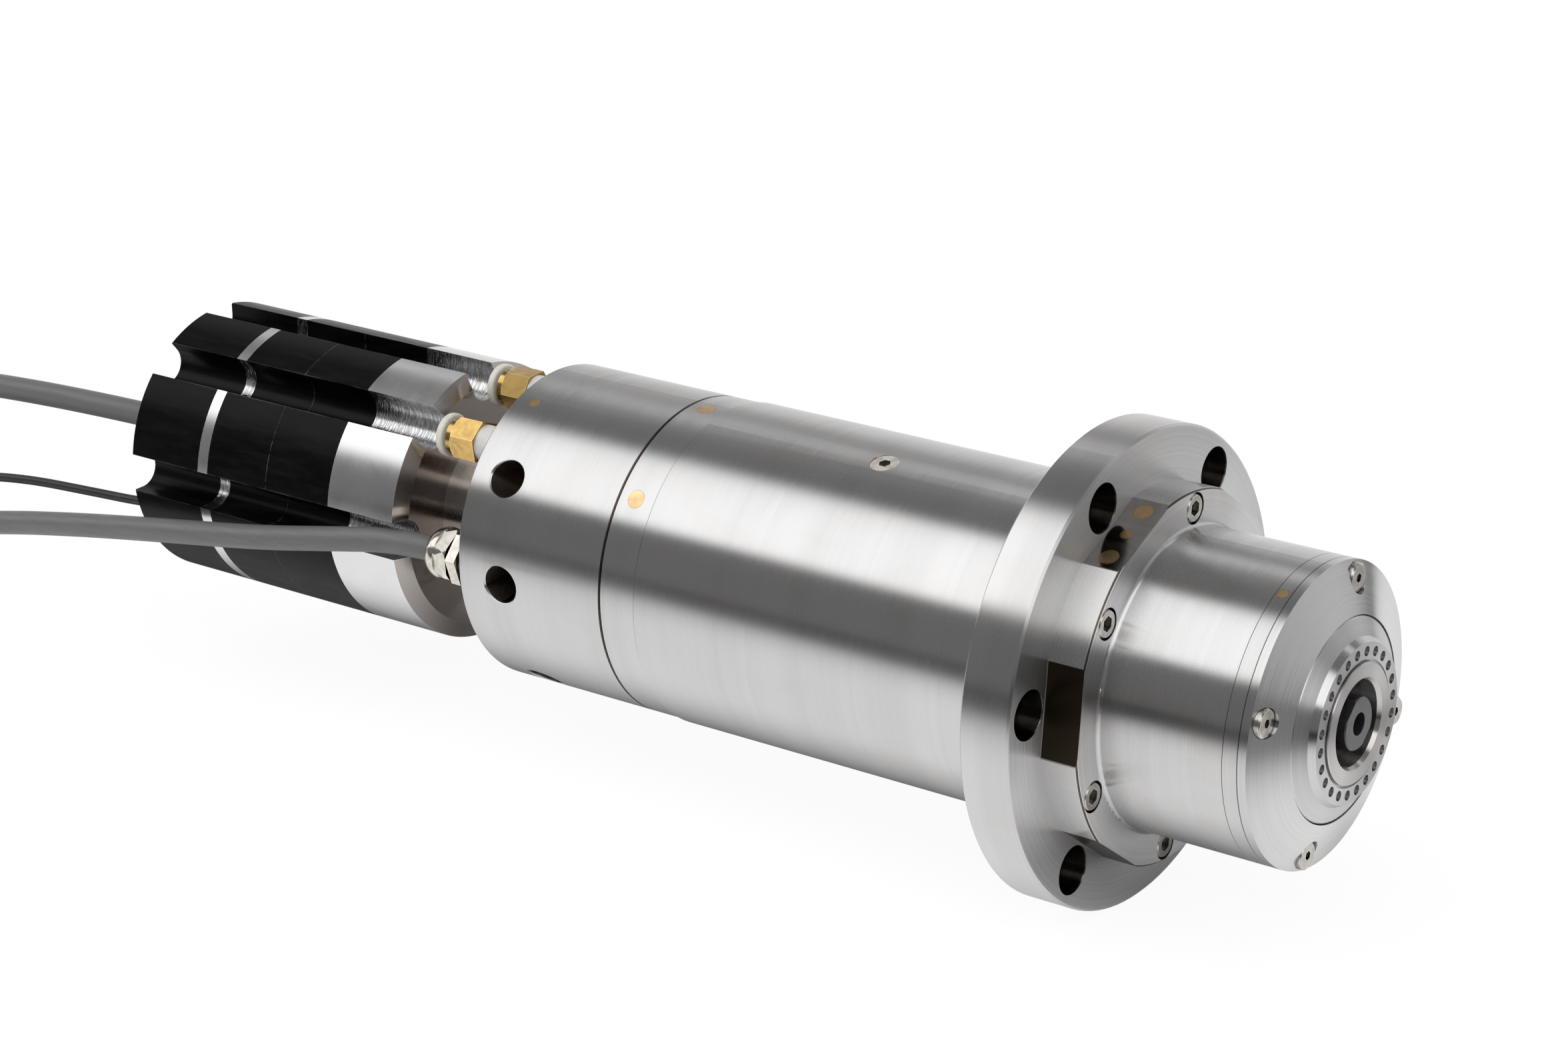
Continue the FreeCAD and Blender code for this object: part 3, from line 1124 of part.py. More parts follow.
def pistons():
    """Discs on the rod, each with a seal groove round its edge."""
    solids = []
    for x in piston_stations():
        disc = tube(x, x + PISTON_THICKNESS, CYLINDER_BORE - SLIDE_GAP, ROD_RADIUS + SEAT_GAP)
        middle = x + PISTON_THICKNESS / 2.0
        groove = tube(middle - PISTON_SEAL / 2.0, middle + PISTON_SEAL / 2.0, CYLINDER_BORE + OVERRUN,
                      CYLINDER_BORE - PISTON_SEAL_DEPTH)
        solids.append(disc.cut(groove))
    return solids


def position_sensor():
    """Threaded sensor in the rear cap; its cable leaves to the rear."""
    x_rear = X_REAR - SENSOR_LENGTH
    body = rod(x_rear, X_REAR + SENSOR_THREAD_DEPTH - SEAT_GAP, SENSOR_RADIUS, SENSOR_CIRCLE, 180.0)
    nut = hexagon(X_REAR - SENSOR_NUT_LENGTH, X_REAR, SENSOR_NUT, SENSOR_CIRCLE, 180.0, 0.0)
    return body.fuse(nut).removeSplitter()


# Tool clamping set

def drawbar():
    """Rod with a cone and a flatted nose piece that has a hole in its end."""
    cone_start = X_NOSE_CONE - NOSE_PIECE_CONE
    outline = [(X_END_NUT, 0.0), (X_END_NUT, DRAWBAR_RADIUS), (cone_start, DRAWBAR_RADIUS),
               (X_NOSE_CONE, NOSE_PIECE_RADIUS), (X_SHAFT - NOSE_PIECE_EDGE, NOSE_PIECE_RADIUS),
               (X_SHAFT, NOSE_PIECE_RADIUS - NOSE_PIECE_EDGE), (X_SHAFT, 0.0)]
    tools = [boxed(X_NOSE_CONE + NOSE_PIECE_COLLAR, X_SHAFT + OVERRUN, NOSE_FLAT_ANGLE + side, NOSE_PIECE_FLAT,
                   NOSE_PIECE_RADIUS + OVERRUN, 3.0 * NOSE_PIECE_RADIUS) for side in (0.0, 180.0)]
    tools.append(rod(X_SHAFT - NOSE_HOLE_DEPTH, X_SHAFT + OVERRUN, NOSE_HOLE_RADIUS))
    return cut_all(revolved(outline), tools)


def drawbar_end_nut():
    return tube(X_DRAWBAR_REAR, X_END_NUT, END_NUT_RADIUS, 0.0)


def disc_springs():
    """Dished washers stacked face to face and back to back."""
    solids = []
    for step in range(SPRING_COUNT):
        x = X_END_NUT + step * SPRING_PITCH + SPRING_GAP
        tip = SPRING_DISH if step % 2 else 0.0
        root = SPRING_DISH - tip
        outline = [(x + root, SPRING_INNER), (x + tip, SPRING_OUTER),
                   (x + tip + SPRING_THICKNESS, SPRING_OUTER), (x + root + SPRING_THICKNESS, SPRING_INNER)]
        solids.append(revolved(outline))
    return solids


def gripper_finger(index):
    """Segment that swings about its foot; its hook grips the hollow shank from inside."""
    x0 = X_FINGER_REAR
    x1 = X_FINGER_TIP
    slope = (NOSE_PIECE_RADIUS - DRAWBAR_RADIUS) / NOSE_PIECE_CONE
    cone_start = X_NOSE_CONE - NOSE_PIECE_CONE
    foot = DRAWBAR_RADIUS + TOUCH_GAP
    throat = DRAWBAR_RADIUS + FINGER_THROAT
    tip_inner = DRAWBAR_RADIUS + slope * (x1 - cone_start) + FINGER_TIP_GAP
    x_throat = x1 - (tip_inner - throat) / slope
    x_hook = x1 - FINGER_HOOK_LENGTH
    x_foot = x0 + FINGER_FOOT
    outline = [(x0, foot), (x_throat, throat), (x1, tip_inner), (x1, FINGER_HOOK - FINGER_TIP_EDGE),
               (x1 - FINGER_TIP_EDGE, FINGER_HOOK), (x_hook, FINGER_HOOK),
               (x_hook - FINGER_HOOK_SLOPE, FINGER_OUTER), (x_foot + FINGER_FOOT_SLOPE, FINGER_OUTER),
               (x_foot, FINGER_HOOK), (x0, FINGER_HOOK)]
    points = [Vector(x, 0, radius) for x, radius in outline]
    face = Part.Face(Part.makePolygon(points + points[:1]))
    middle = finger_angle(index)
    face.rotate(ORIGIN, AXIS, -(middle + FINGER_SPAN / 2.0))
    return face.revolve(ORIGIN, AXIS, FINGER_SPAN)


def finger_angle(index):
    """Angle of the middle of a finger."""
    return NOSE_FLAT_ANGLE + FINGER_FROM_FLAT + 360.0 * index / FINGER_COUNT


# Free cables

def arc_route(points):
    """Straight runs joined by tangent arcs that are as large as both runs allow."""
    points = [Vector(*point) for point in points]
    edges = []
    radii = []
    start = points[0]
    for before, corner, after in zip(points, points[1:], points[2:]):
        back = before - corner
        ahead = after - corner
        reach = BEND_SHARE * min(back.Length, ahead.Length)
        turn = math.pi - back.getAngle(ahead)
        radius = reach / math.tan(turn / 2.0)
        enter = corner + back.normalize() * reach
        leave = corner + ahead.normalize() * reach
        bisector = (back + ahead).normalize()
        middle = corner + bisector * (radius / math.cos(turn / 2.0) - radius)
        edges.append(Part.LineSegment(start, enter).toShape())
        edges.append(Part.Arc(enter, middle, leave).toShape())
        radii.append(radius)
        start = leave
    edges.append(Part.LineSegment(start, points[-1]).toShape())
    return Part.Wire(edges), radii


def cable_tube(name, points, radius):
    """Round cable along its route; prints its length, bends and volume against its section."""
    path, radii = arc_route(points)
    first = path.Edges[0]
    section = Part.Wire(Part.Circle(first.valueAt(first.FirstParameter), first.tangentAt(first.FirstParameter),
                                    radius).toShape())
    solid = path.makePipeShell([section], True, True)
    expected = math.pi * radius ** 2 * path.Length
    print(name, "length", round(path.Length, 1), "smallest bend", round(min(radii), 1),
          "largest bend", round(max(radii), 1), "volume ratio", round(solid.Volume / expected, 4))
    return solid


def coil_entry(centre, mid_radius, cable, side):
    """Point where a cable meets the straight stub that leads to the coil's outer turn."""
    return (centre[0] + mid_radius + COIL_STUB, centre[1] + side * (mid_radius + 2.0 * cable), centre[2])


def gland_exit(angle):
    """Point where a cable leaves its dome nut."""
    return tuple(at(gland_stations()[2] + GLAND_SEAL_SUNK, GLAND_CIRCLE, angle))


def falling_route(start, steps, end):
    """Points from start to end; a step is the way back, the way aside and the share of the fall."""
    points = [start]
    for back, aside, share in steps:
        points.append((start[0] - back, start[1] + aside, start[2] + share * (end[2] - start[2])))
    return points + [end]


def signal_route():
    steps = ((19.3, 0.0, 0.0), (47.3, -7.4, 0.043), (79.8, -11.3, 0.112), (123.8, -11.9, 0.196),
             (173.8, -11.1, 0.301), (225.8, -9.7, 0.429), (279.8, -8.9, 0.600), (329.8, -9.2, 0.778),
             (373.8, -9.7, 0.917), (413.8, SIGNAL_CABLE_DRIFT, 1.0))
    end = coil_entry(signal_coil_place(), SIGNAL_COIL_RADIUS, SIGNAL_CABLE, -1)
    return falling_route(gland_exit(ROLL + SIGNAL_GLAND_ANGLE), steps, end)


def power_route():
    steps = ((55.3, 0.0, 0.0), (117.8, 0.6, 0.008), (183.8, 0.2, 0.018), (251.8, 0.5, 0.032),
             (315.8, 0.1, 0.072), (373.8, 2.8, 0.167), (429.8, 9.6, 0.339), (483.8, 16.4, 0.569),
             (535.8, 20.0, 0.808), (585.8, POWER_CABLE_DRIFT, 1.0))
    end = coil_entry(power_coil_place(), POWER_COIL_RADIUS, POWER_CABLE, 1)
    return falling_route(gland_exit(ROLL + POWER_GLAND_ANGLE), steps, end)


def sensor_exit():
    """Point where the sensor's cable leaves it."""
    return tuple(at(X_REAR - SENSOR_LENGTH, SENSOR_CIRCLE, 180.0))


def sensor_route():
    steps = ((14.0, 0.0, 0.0), (40.0, 0.3, 0.084), (74.0, -0.1, 0.123), (110.0, 0.3, 0.177),
             (143.0, 0.0, 0.29), (171.0, 0.4, 0.47), (197.0, 0.0, 0.69), (221.0, 0.4, 0.90),
             (243.0, 0.0, 1.0))
    return falling_route(sensor_exit(), steps, sensor_connector_place())


def signal_coil_place():
    """Centre of the signal coil; its height is that of the cable's first turn."""
    x, y, _ = gland_exit(ROLL + SIGNAL_GLAND_ANGLE)
    return (x - SIGNAL_COIL_BACK, y + SIGNAL_CABLE_DRIFT + SIGNAL_COIL_RADIUS + 2.0 * SIGNAL_CABLE,
            FLOOR + SIGNAL_CABLE + CABLE_LIFT)


def power_coil_place():
    """Centre of the power coil; its height is that of the cable's first turn."""
    x, y, _ = gland_exit(ROLL + POWER_GLAND_ANGLE)
    return (x - POWER_COIL_BACK, y + POWER_CABLE_DRIFT - POWER_COIL_RADIUS - 2.0 * POWER_CABLE,
            FLOOR + POWER_CABLE + CABLE_LIFT)


def sensor_connector_place():
    x, y, _ = sensor_exit()
    return (x - SENSOR_CABLE_BACK, y, FLOOR + SENSOR_CONNECTOR_RADIUS)


def cable_coil(centre, mid_radius, cable, side, plug_radius):
    """Closed outer shape of two spiral layers, with the stubs where the cable enters and leaves."""
    x, y, z = centre
    band = 3.0 * cable
    height = 4.0 * cable
    ring = Part.makeCylinder(mid_radius + band, height, Vector(x, y, FLOOR), Vector(0, 0, 1))
    ring = ring.cut(Part.makeCylinder(mid_radius - band, height, Vector(x, y, FLOOR), Vector(0, 0, 1)))
    tangent_y = y + side * (mid_radius + 2.0 * cable)
    reach = mid_radius + COIL_STUB
    enter = Part.makeCylinder(cable, reach, Vector(x, tangent_y, z), AXIS)
    leave = Part.makeCylinder(cable, reach, Vector(x - reach, tangent_y, FLOOR + plug_radius), AXIS)
    return joined([ring, enter, leave])


def connector(start, y, radius, cable, length):
    """Round plug lying on the floor: clamp nut, body, coupling ring and pin insert."""
    clamp = radius * CLAMP_RADIUS
    shell = radius * SHELL_RADIUS
    end = start - length
    outline = [(start, 0.0), (start, cable + CONNECTOR_LIP), (start - CONNECTOR_TAPER, clamp),
               (start - length * CLAMP_END, clamp), (start - length * SHELL_START, shell),
               (start - length * SHELL_END, shell), (start - length * SHELL_END, radius),
               (end + CONNECTOR_EDGE, radius), (end, radius - CONNECTOR_EDGE),
               (end, radius - CONNECTOR_WALL), (end + CONNECTOR_SOCKET, radius - CONNECTOR_WALL),
               (end + CONNECTOR_SOCKET, 0.0)]
    solid = revolved(outline)
    solid.translate(Vector(0, y, FLOOR + radius))
    return solid


def signal_connector():
    x, y, _ = signal_coil_place()
    return connector(x - SIGNAL_COIL_RADIUS - COIL_STUB, y - SIGNAL_COIL_RADIUS - 2.0 * SIGNAL_CABLE,
                     SIGNAL_CONNECTOR_RADIUS, SIGNAL_CABLE, SIGNAL_CONNECTOR_LENGTH)


def power_connector():
    x, y, _ = power_coil_place()
    return connector(x - POWER_COIL_RADIUS - COIL_STUB, y + POWER_COIL_RADIUS + 2.0 * POWER_CABLE,
                     POWER_CONNECTOR_RADIUS, POWER_CABLE, POWER_CONNECTOR_LENGTH)


def sensor_connector():
    x, y, _ = sensor_connector_place()
    return connector(x, y, SENSOR_CONNECTOR_RADIUS, SENSOR_CABLE, SENSOR_CONNECTOR_LENGTH)


def build():
    os.makedirs("parts", exist_ok=True)
    glands = gland_places()
    export("main_housing", main_housing())
    export("cooling_sleeve", cooling_sleeve())
    export("jacket_seals", jacket_seals())
    export("stator_core", stator_core())
    export("stator_windings", stator_windings())
    export("front_bearing_housing", front_bearing_housing())
    export("step_ring_screws", step_ring_screws())
    export("nose_ring", nose_ring())
    export("front_cover", front_cover())
    export("cover_screws", cover_screws())
    export("front_bearing_outer_rings", outer_rings("front"))
    export("rear_bearing_outer_ring", outer_rings("rear"))
    export("bearing_inner_rings", inner_rings())
    export("front_bearing_balls", balls("front"))
    export("front_bearing_cages", cages("front"))
    export("rear_bearing_balls", balls("rear"))
    export("rear_bearing_cage", cages("rear"))
    export("rear_bearing_housing", rear_bearing_housing())
    export("preload_spring", preload_spring())
    export("rear_manifold", rear_manifold())
    export("manifold_screws", manifold_screws())
    export("brass_plugs", brass_plugs())
    export("housing_plug_screw", housing_plug_screw())
    export("coolant_fittings", [coolant_fitting(offset) for offset in COOLANT_ANGLES])
    export("fitting_thread_tape", [thread_tape(offset) for offset in COOLANT_ANGLES])
    export("coolant_out_release_ring", release_ring(COOLANT_ANGLES[0]))
    export("coolant_in_release_ring", release_ring(COOLANT_ANGLES[1]))
    export("cable_gland_bodies", [gland_body(angle, cable) for angle, cable in glands])
    export("cable_gland_nuts", [gland_nut(angle, cable) for angle, cable in glands])
    export("cable_gland_seals", [gland_seal(angle, cable) for angle, cable in glands])
    export("cylinder_neck", cylinder_neck())
    export("cylinder_front_block", front_block())
    export("cylinder_front_stage", cylinder_stage(X_FRONT_STAGE, X_BLOCK))
    export("cylinder_middle_stage", cylinder_stage(X_MIDDLE_STAGE, X_FRONT_STAGE))
    export("cylinder_band_plate", band_plate())
    export("cylinder_rear_cap", rear_cap())
    export("cylinder_tie_bolts", tie_bolts())
    export("position_sensor", position_sensor())
    export("shaft", shaft())
    export("rotor_core", rotor_core())
    export("balance_disc", balance_disc())
    export("lock_nuts", lock_nuts())
    export("disc_springs", disc_springs())
    export("drawbar", drawbar())
    export("drawbar_end_nut", drawbar_end_nut())
    for index in range(FINGER_COUNT):
        export("gripper_finger_" + str(index + 1), gripper_finger(index))
    export("release_rod", release_rod())
    export("release_pistons", pistons())
    export("signal_cable", cable_tube("signal_cable", signal_route(), SIGNAL_CABLE))
    export("power_cable", cable_tube("power_cable", power_route(), POWER_CABLE))
    export("sensor_cable", cable_tube("sensor_cable", sensor_route(), SENSOR_CABLE))
    export("signal_cable_coil", cable_coil(signal_coil_place(), SIGNAL_COIL_RADIUS, SIGNAL_CABLE, -1,
                                           SIGNAL_CONNECTOR_RADIUS))
    export("power_cable_coil", cable_coil(power_coil_place(), POWER_COIL_RADIUS, POWER_CABLE, 1,
                                          POWER_CONNECTOR_RADIUS))
    export("signal_connector", signal_connector())
    export("power_connector", power_connector())
    export("sensor_connector", sensor_connector())


build()
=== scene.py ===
"""Looks of a water-cooled motor spindle with its release cylinder and leads."""
import math

import bpy
from mathutils import Matrix, Vector


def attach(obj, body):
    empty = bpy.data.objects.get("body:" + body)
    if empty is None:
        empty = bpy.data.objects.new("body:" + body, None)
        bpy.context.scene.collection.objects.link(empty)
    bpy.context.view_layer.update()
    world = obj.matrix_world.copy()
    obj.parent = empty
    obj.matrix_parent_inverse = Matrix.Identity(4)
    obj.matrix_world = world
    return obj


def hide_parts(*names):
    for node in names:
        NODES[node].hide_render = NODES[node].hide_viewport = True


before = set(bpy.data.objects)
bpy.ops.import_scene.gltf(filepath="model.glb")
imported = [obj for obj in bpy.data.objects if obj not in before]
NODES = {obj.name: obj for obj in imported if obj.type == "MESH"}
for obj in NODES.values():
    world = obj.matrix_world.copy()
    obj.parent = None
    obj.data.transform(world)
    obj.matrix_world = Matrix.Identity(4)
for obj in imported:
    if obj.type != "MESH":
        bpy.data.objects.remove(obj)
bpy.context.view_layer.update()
MM = 0.001
FLOOR_Z = -0.085


# ---------------------------------------------------------------- camera

# Where the photograph was taken from, and the directions of its right and upper sides
CAMERA_PLACE = (0.6453, -1.0635, 0.4943)
CAMERA_RIGHT = (0.80709, 0.59040, 0.0)
CAMERA_UP = (-0.19970, 0.27298, 0.94107)
CAMERA_LENS, CAMERA_SENSOR = 89.33, 36.0
CAMERA_NEAR, CAMERA_FAR = 0.05, 50.0


def make_camera():
    data = bpy.data.cameras.new("camera")
    data.lens = CAMERA_LENS
    data.sensor_width = CAMERA_SENSOR
    data.clip_start = CAMERA_NEAR
    data.clip_end = CAMERA_FAR
    camera = bpy.data.objects.new("camera", data)
    right, up = Vector(CAMERA_RIGHT), Vector(CAMERA_UP)
    turn = Matrix((right, up, right.cross(up))).transposed()
    camera.matrix_world = Matrix.Translation(CAMERA_PLACE) @ turn.to_4x4()
    bpy.context.scene.collection.objects.link(camera)
    bpy.context.scene.camera = camera
    bpy.context.scene.view_settings.view_transform = "Standard"


# ---------------------------------------------------------------- shader helpers

class Shader:
    """One procedural material and the nodes it is made of."""

    def __init__(self, name):
        self.material = bpy.data.materials.new(name)
        self.material.use_nodes = True
        self.tree = self.material.node_tree
        self.tree.nodes.clear()
        self.output = self.tree.nodes.new("ShaderNodeOutputMaterial")
        self.bsdf = self.tree.nodes.new("ShaderNodeBsdfPrincipled")
        self.tree.links.new(self.bsdf.outputs[0], self.output.inputs["Surface"])
        spot = self.node("ShaderNodeTexCoord")
        self.place = self.vector("SCALE", spot.outputs["Object"], scale=1000.0)
        split = self.node("ShaderNodeSeparateXYZ")
        self.put(split.inputs[0], self.place)
        self.x, self.y, self.z = split.outputs
        self.radius = self.vector("LENGTH", self.combine(0.0, self.y, self.z))
        self.angle = self.math("ARCTAN2", self.y, self.z)
        self.rings = self.combine(self.x, self.radius, 0.0)
        facing = self.node("ShaderNodeSeparateXYZ")
        self.put(facing.inputs[0], spot.outputs["Normal"])
        self.end_face = self.span(self.math("ABSOLUTE", facing.outputs[0]), 0.6, 0.9)
        side = self.node("ShaderNodeVectorMath", operation="DOT_PRODUCT")
        self.put(side.inputs[0], spot.outputs["Normal"])
        self.put(side.inputs[1], self.vector("NORMALIZE", self.combine(0.0, self.y, self.z)))
        self.outward = side.outputs["Value"]

    def node(self, kind, **settings):
        node = self.tree.nodes.new(kind)
        for key, value in settings.items():
            setattr(node, key, value)
        return node

    def put(self, socket, value):
        """A link or a number into a socket."""
        if isinstance(value, bpy.types.NodeSocket):
            self.tree.links.new(value, socket)
        else:
            socket.default_value = value

    def put_colour(self, socket, colour):
        """A link or three numbers into a colour's socket."""
        self.put(socket, colour if isinstance(colour, bpy.types.NodeSocket) else (*colour, 1.0))

    def math(self, operation, *values):
        node = self.node("ShaderNodeMath", operation=operation)
        for socket, value in zip(node.inputs, values):
            self.put(socket, value)
        return node.outputs[0]

    def vector(self, operation, *values, scale=None):
        node = self.node("ShaderNodeVectorMath", operation=operation)
        for socket, value in zip(node.inputs, values):
            self.put(socket, value)
        if scale is not None:
            self.put(node.inputs["Scale"], scale)
        return node.outputs["Value" if operation == "LENGTH" else "Vector"]

    def combine(self, x, y, z):
        node = self.node("ShaderNodeCombineXYZ")
        for socket, value in zip(node.inputs, (x, y, z)):
            self.put(socket, value)
        return node.outputs[0]

    def noise(self, place, scale=1.0, detail=3.0, rough=0.5, distortion=0.0):
        """Soft noise from 0 to 1; scale, per millimetre, is one number or one for each direction."""
        factors = scale if isinstance(scale, tuple) else (scale,) * 3
        node = self.node("ShaderNodeTexNoise", noise_dimensions="3D")
        self.put(node.inputs["Vector"], self.vector("MULTIPLY", place, factors))
        self.put(node.inputs["Scale"], 1.0)
        self.put(node.inputs["Detail"], detail)
        self.put(node.inputs["Roughness"], rough)
        self.put(node.inputs["Distortion"], distortion)
        return node.outputs[0]

    def span(self, value, low, high, to_low=0.0, to_high=1.0, smooth=False):
        """Value mapped from low..high to to_low..to_high, held at the ends."""
        node = self.node("ShaderNodeMapRange",
                         interpolation_type="SMOOTHSTEP" if smooth else "LINEAR")
        for socket, number in zip(node.inputs, (value, low, high, to_low, to_high)):
            self.put(socket, number)
        return node.outputs[0]

    def band(self, value, low, high, soft):
        """One between low and high, falling to zero over soft at each side."""
        rise = self.span(value, low - soft, low, smooth=True)
        fall = self.span(value, high, high + soft, 1.0, 0.0, smooth=True)
        return self.math("MULTIPLY", rise, fall)

    def mix(self, factor, first, second):
        node = self.node("ShaderNodeMix", data_type="RGBA")
        self.put(node.inputs[0], factor)
        for socket, colour in zip(node.inputs[6:8], (first, second)):
            self.put_colour(socket, colour)
        return node.outputs[2]

    def shade(self, colour, factor):
        """Colour times a factor."""
        node = self.node("ShaderNodeMix", data_type="RGBA", blend_type="MULTIPLY")
        self.put(node.inputs[0], 1.0)
        self.put_colour(node.inputs[6], colour)
        self.put(node.inputs[7], factor)
        return node.outputs[2]

    def bump(self, height, depth):
        """Normal of a surface with that height, in millimetres times depth."""
        node = self.node("ShaderNodeBump")
        self.put(node.inputs["Strength"], 1.0)
        self.put(node.inputs["Distance"], depth * MM)
        self.put(node.inputs["Height"], height)
        return node.outputs[0]

    def edge_wear(self, size):
        """One near a sharp edge, zero on open faces."""
        bevel = self.node("ShaderNodeBevel", samples=6)
        self.put(bevel.inputs["Radius"], size * MM)
        geometry = self.node("ShaderNodeNewGeometry")
        meet = self.node("ShaderNodeVectorMath", operation="DOT_PRODUCT")
        self.put(meet.inputs[0], bevel.outputs[0])
        self.put(meet.inputs[1], geometry.outputs["Normal"])
        return self.span(meet.outputs["Value"], 0.995, 0.90)

    def crevice(self, reach):
        """One deep in a recess, zero in the open."""
        node = self.node("ShaderNodeAmbientOcclusion", samples=8, only_local=False)
        self.put(node.inputs["Distance"], reach * MM)
        return self.span(node.outputs["AO"], 0.75, 0.25)

    def level(self, factor, first, second):
        """Number that goes from the first to the second as the factor goes from zero to one."""
        node = self.node("ShaderNodeMix", data_type="FLOAT")
        for socket, value in zip(node.inputs[0:1] + node.inputs[2:4], (factor, first, second)):
            self.put(socket, value)
        return node.outputs[0]

    def finish(self, **values):
        """The finished material, with these values on its surface."""
        names = {"colour": "Base Color", "metallic": "Metallic", "roughness": "Roughness",
                 "normal": "Normal", "ior": "IOR", "specular": "Specular IOR Level",
                 "anisotropic": "Anisotropic", "turn": "Anisotropic Rotation", "tangent": "Tangent"}
        for key, value in values.items():
            self.put(self.bsdf.inputs[names[key]], value)
        return self.material


# ---------------------------------------------------------------- metals

STEEL = (0.605, 0.60, 0.60)
# Painted shade: the dark line drawn at the seams where the housing meets the band
SEAM_PAINTED_SHADE = (0.16, 0.14, 0.12)

# Places, in millimetres along the axis or from it, where one finish gives way to another, or where painted
# shade begins
FLANGE_HOLES_X, FLANGE_HOLES_RADIUS = (0.6, 18.4), (61.0, 84.2)
STEP_RING_X, STEP_FLAT_RADIUS = (19.2, 33.0), (65.72, 65.62)
HOUSING_SEAM_X, BAND_SEAM_X = (-154.75, -154.9), (-155.28, -155.12)
BAND_GROOVE_X, BAND_GROOVE_RADIUS = (-169.9, -170.1), (59.3, 59.1)
MANIFOLD_BORE_X, MANIFOLD_BORE_RADIUS = (-237.3, -237.0), (58.75, 58.6)
MANIFOLD_BACK_X = (-236.9, -237.2)
FLUTE_RADIUS = (53.3, 52.9)
# Angle round the axis below which the step ring's lapped flats are painted near black, a painted dark
# reflection
LOW_FLAT_ANGLE = (-0.85, -1.0)


def turned(shader, stretch):
    """Settings of a surface turned on a lathe, whose gloss is drawn out across its rings."""
    tangent = shader.node("ShaderNodeTangent", direction_type="RADIAL", axis="X").outputs[0]
    return {"anisotropic": stretch, "turn": 0.25, "tangent": tangent}


def turned_steel(name, tint=1.0, grain=1.0, rough=0.24, colour=STEEL, face_rough=0.3, dirt_and_painted_shade=None):
    """Lathe-turned and ground steel: fine rings, soft bands, faint heat tints and hair scratches."""
    s = Shader(name)
    fine = s.noise(s.rings, 3.2, detail=4.0, rough=0.75)
    coarse = s.noise(s.rings, 0.35, detail=3.0, rough=0.6)
    wide = s.noise(s.rings, 0.045, detail=2.0)
    cuts = s.noise(s.rings, 1.1, detail=3.0, rough=0.8)
    cloud = s.noise(s.place, 0.02, detail=4.0, rough=0.55, distortion=0.6)
    aside = s.vector("ADD", s.place, (310.0, 70.0, 150.0))
    stain = s.noise(aside, (0.012, 0.03, 0.03), detail=3.0, distortion=1.2)
    along = s.combine(s.math("MULTIPLY", s.x, 0.05), s.math("MULTIPLY", s.angle, 90.0), s.radius)
    hair = s.noise(along, (1.0, 1.0, 0.2), detail=5.0, rough=0.8)
    scratch = s.math("MULTIPLY", s.span(hair, 0.69, 0.74), s.span(cloud, 0.5, 0.62))
    base = s.mix(s.span(stain, 0.52, 0.72, 0.0, 0.4 * tint), colour, (0.60, 0.55, 0.52))
    base = s.mix(s.span(cloud, 0.56, 0.74, 0.0, 0.4 * tint), base, (0.555, 0.57, 0.55))
    base = s.shade(base, s.span(wide, 0.3, 0.7, 0.93, 1.04))
    base = s.shade(base, s.level(s.end_face, 1.0, s.span(cuts, 0.3, 0.7, 0.90, 1.06)))
    base = s.mix(s.math("MULTIPLY", scratch, 0.5), base, (0.80, 0.79, 0.77))
    # The function passed in paints shade into the part's bolt holes, bores, grooves and seams
    if dirt_and_painted_shade is not None:
        base = dirt_and_painted_shade(s, base)
    roughness = s.math("ADD", s.span(fine, 0.3, 0.7, rough - 0.035 * grain, rough + 0.05 * grain),
                       s.span(coarse, 0.3, 0.7, -0.015, 0.03))
    roughness = s.math("ADD", roughness, s.span(cloud, 0.3, 0.7, -0.015, 0.03))
    face = s.span(cuts, 0.3, 0.7, face_rough - 0.03, face_rough + 0.03)
    roughness = s.level(s.end_face, roughness, face)
    height = s.math("ADD", s.math("MULTIPLY", fine, 0.5), coarse)
    return s.finish(colour=base, metallic=1.0, roughness=roughness, normal=s.bump(height, 0.012 * grain),
                    **turned(s, 1.0))


def housing_painted_shade(s, base):
    """Painted shade: dark walls in the flange's bolt holes, and a dark line at the rear seam."""
    inside = s.math("MULTIPLY", s.band(s.x, *FLANGE_HOLES_X, 0.2),
                    s.band(s.radius, *FLANGE_HOLES_RADIUS, 0.2))
    base = s.mix(inside, base, (0.055, 0.045, 0.035))
    return s.mix(s.span(s.x, *HOUSING_SEAM_X), base, SEAM_PAINTED_SHADE)


def manifold_painted_shade(s, base):
    """Painted shade: brown-dark bores, and a darker back face round the fittings."""
    bore = s.math("MULTIPLY", s.span(s.radius, *MANIFOLD_BORE_RADIUS), s.span(s.x, *MANIFOLD_BORE_X))
    base = s.mix(bore, base, (0.17, 0.135, 0.11))
    return s.mix(s.span(s.x, *MANIFOLD_BACK_X, 0.0, 0.55), base, (0.25, 0.22, 0.20))


def band_painted_shade(s, base):
    """Painted shade: a dark groove before the manifold and a dark line at the seam in front."""
    groove = s.math("MULTIPLY", s.span(s.radius, *BAND_GROOVE_RADIUS), s.span(s.x, *BAND_GROOVE_X))
    base = s.mix(groove, base, (0.20, 0.155, 0.13))
    return s.mix(s.span(s.x, *BAND_SEAM_X), base, SEAM_PAINTED_SHADE)


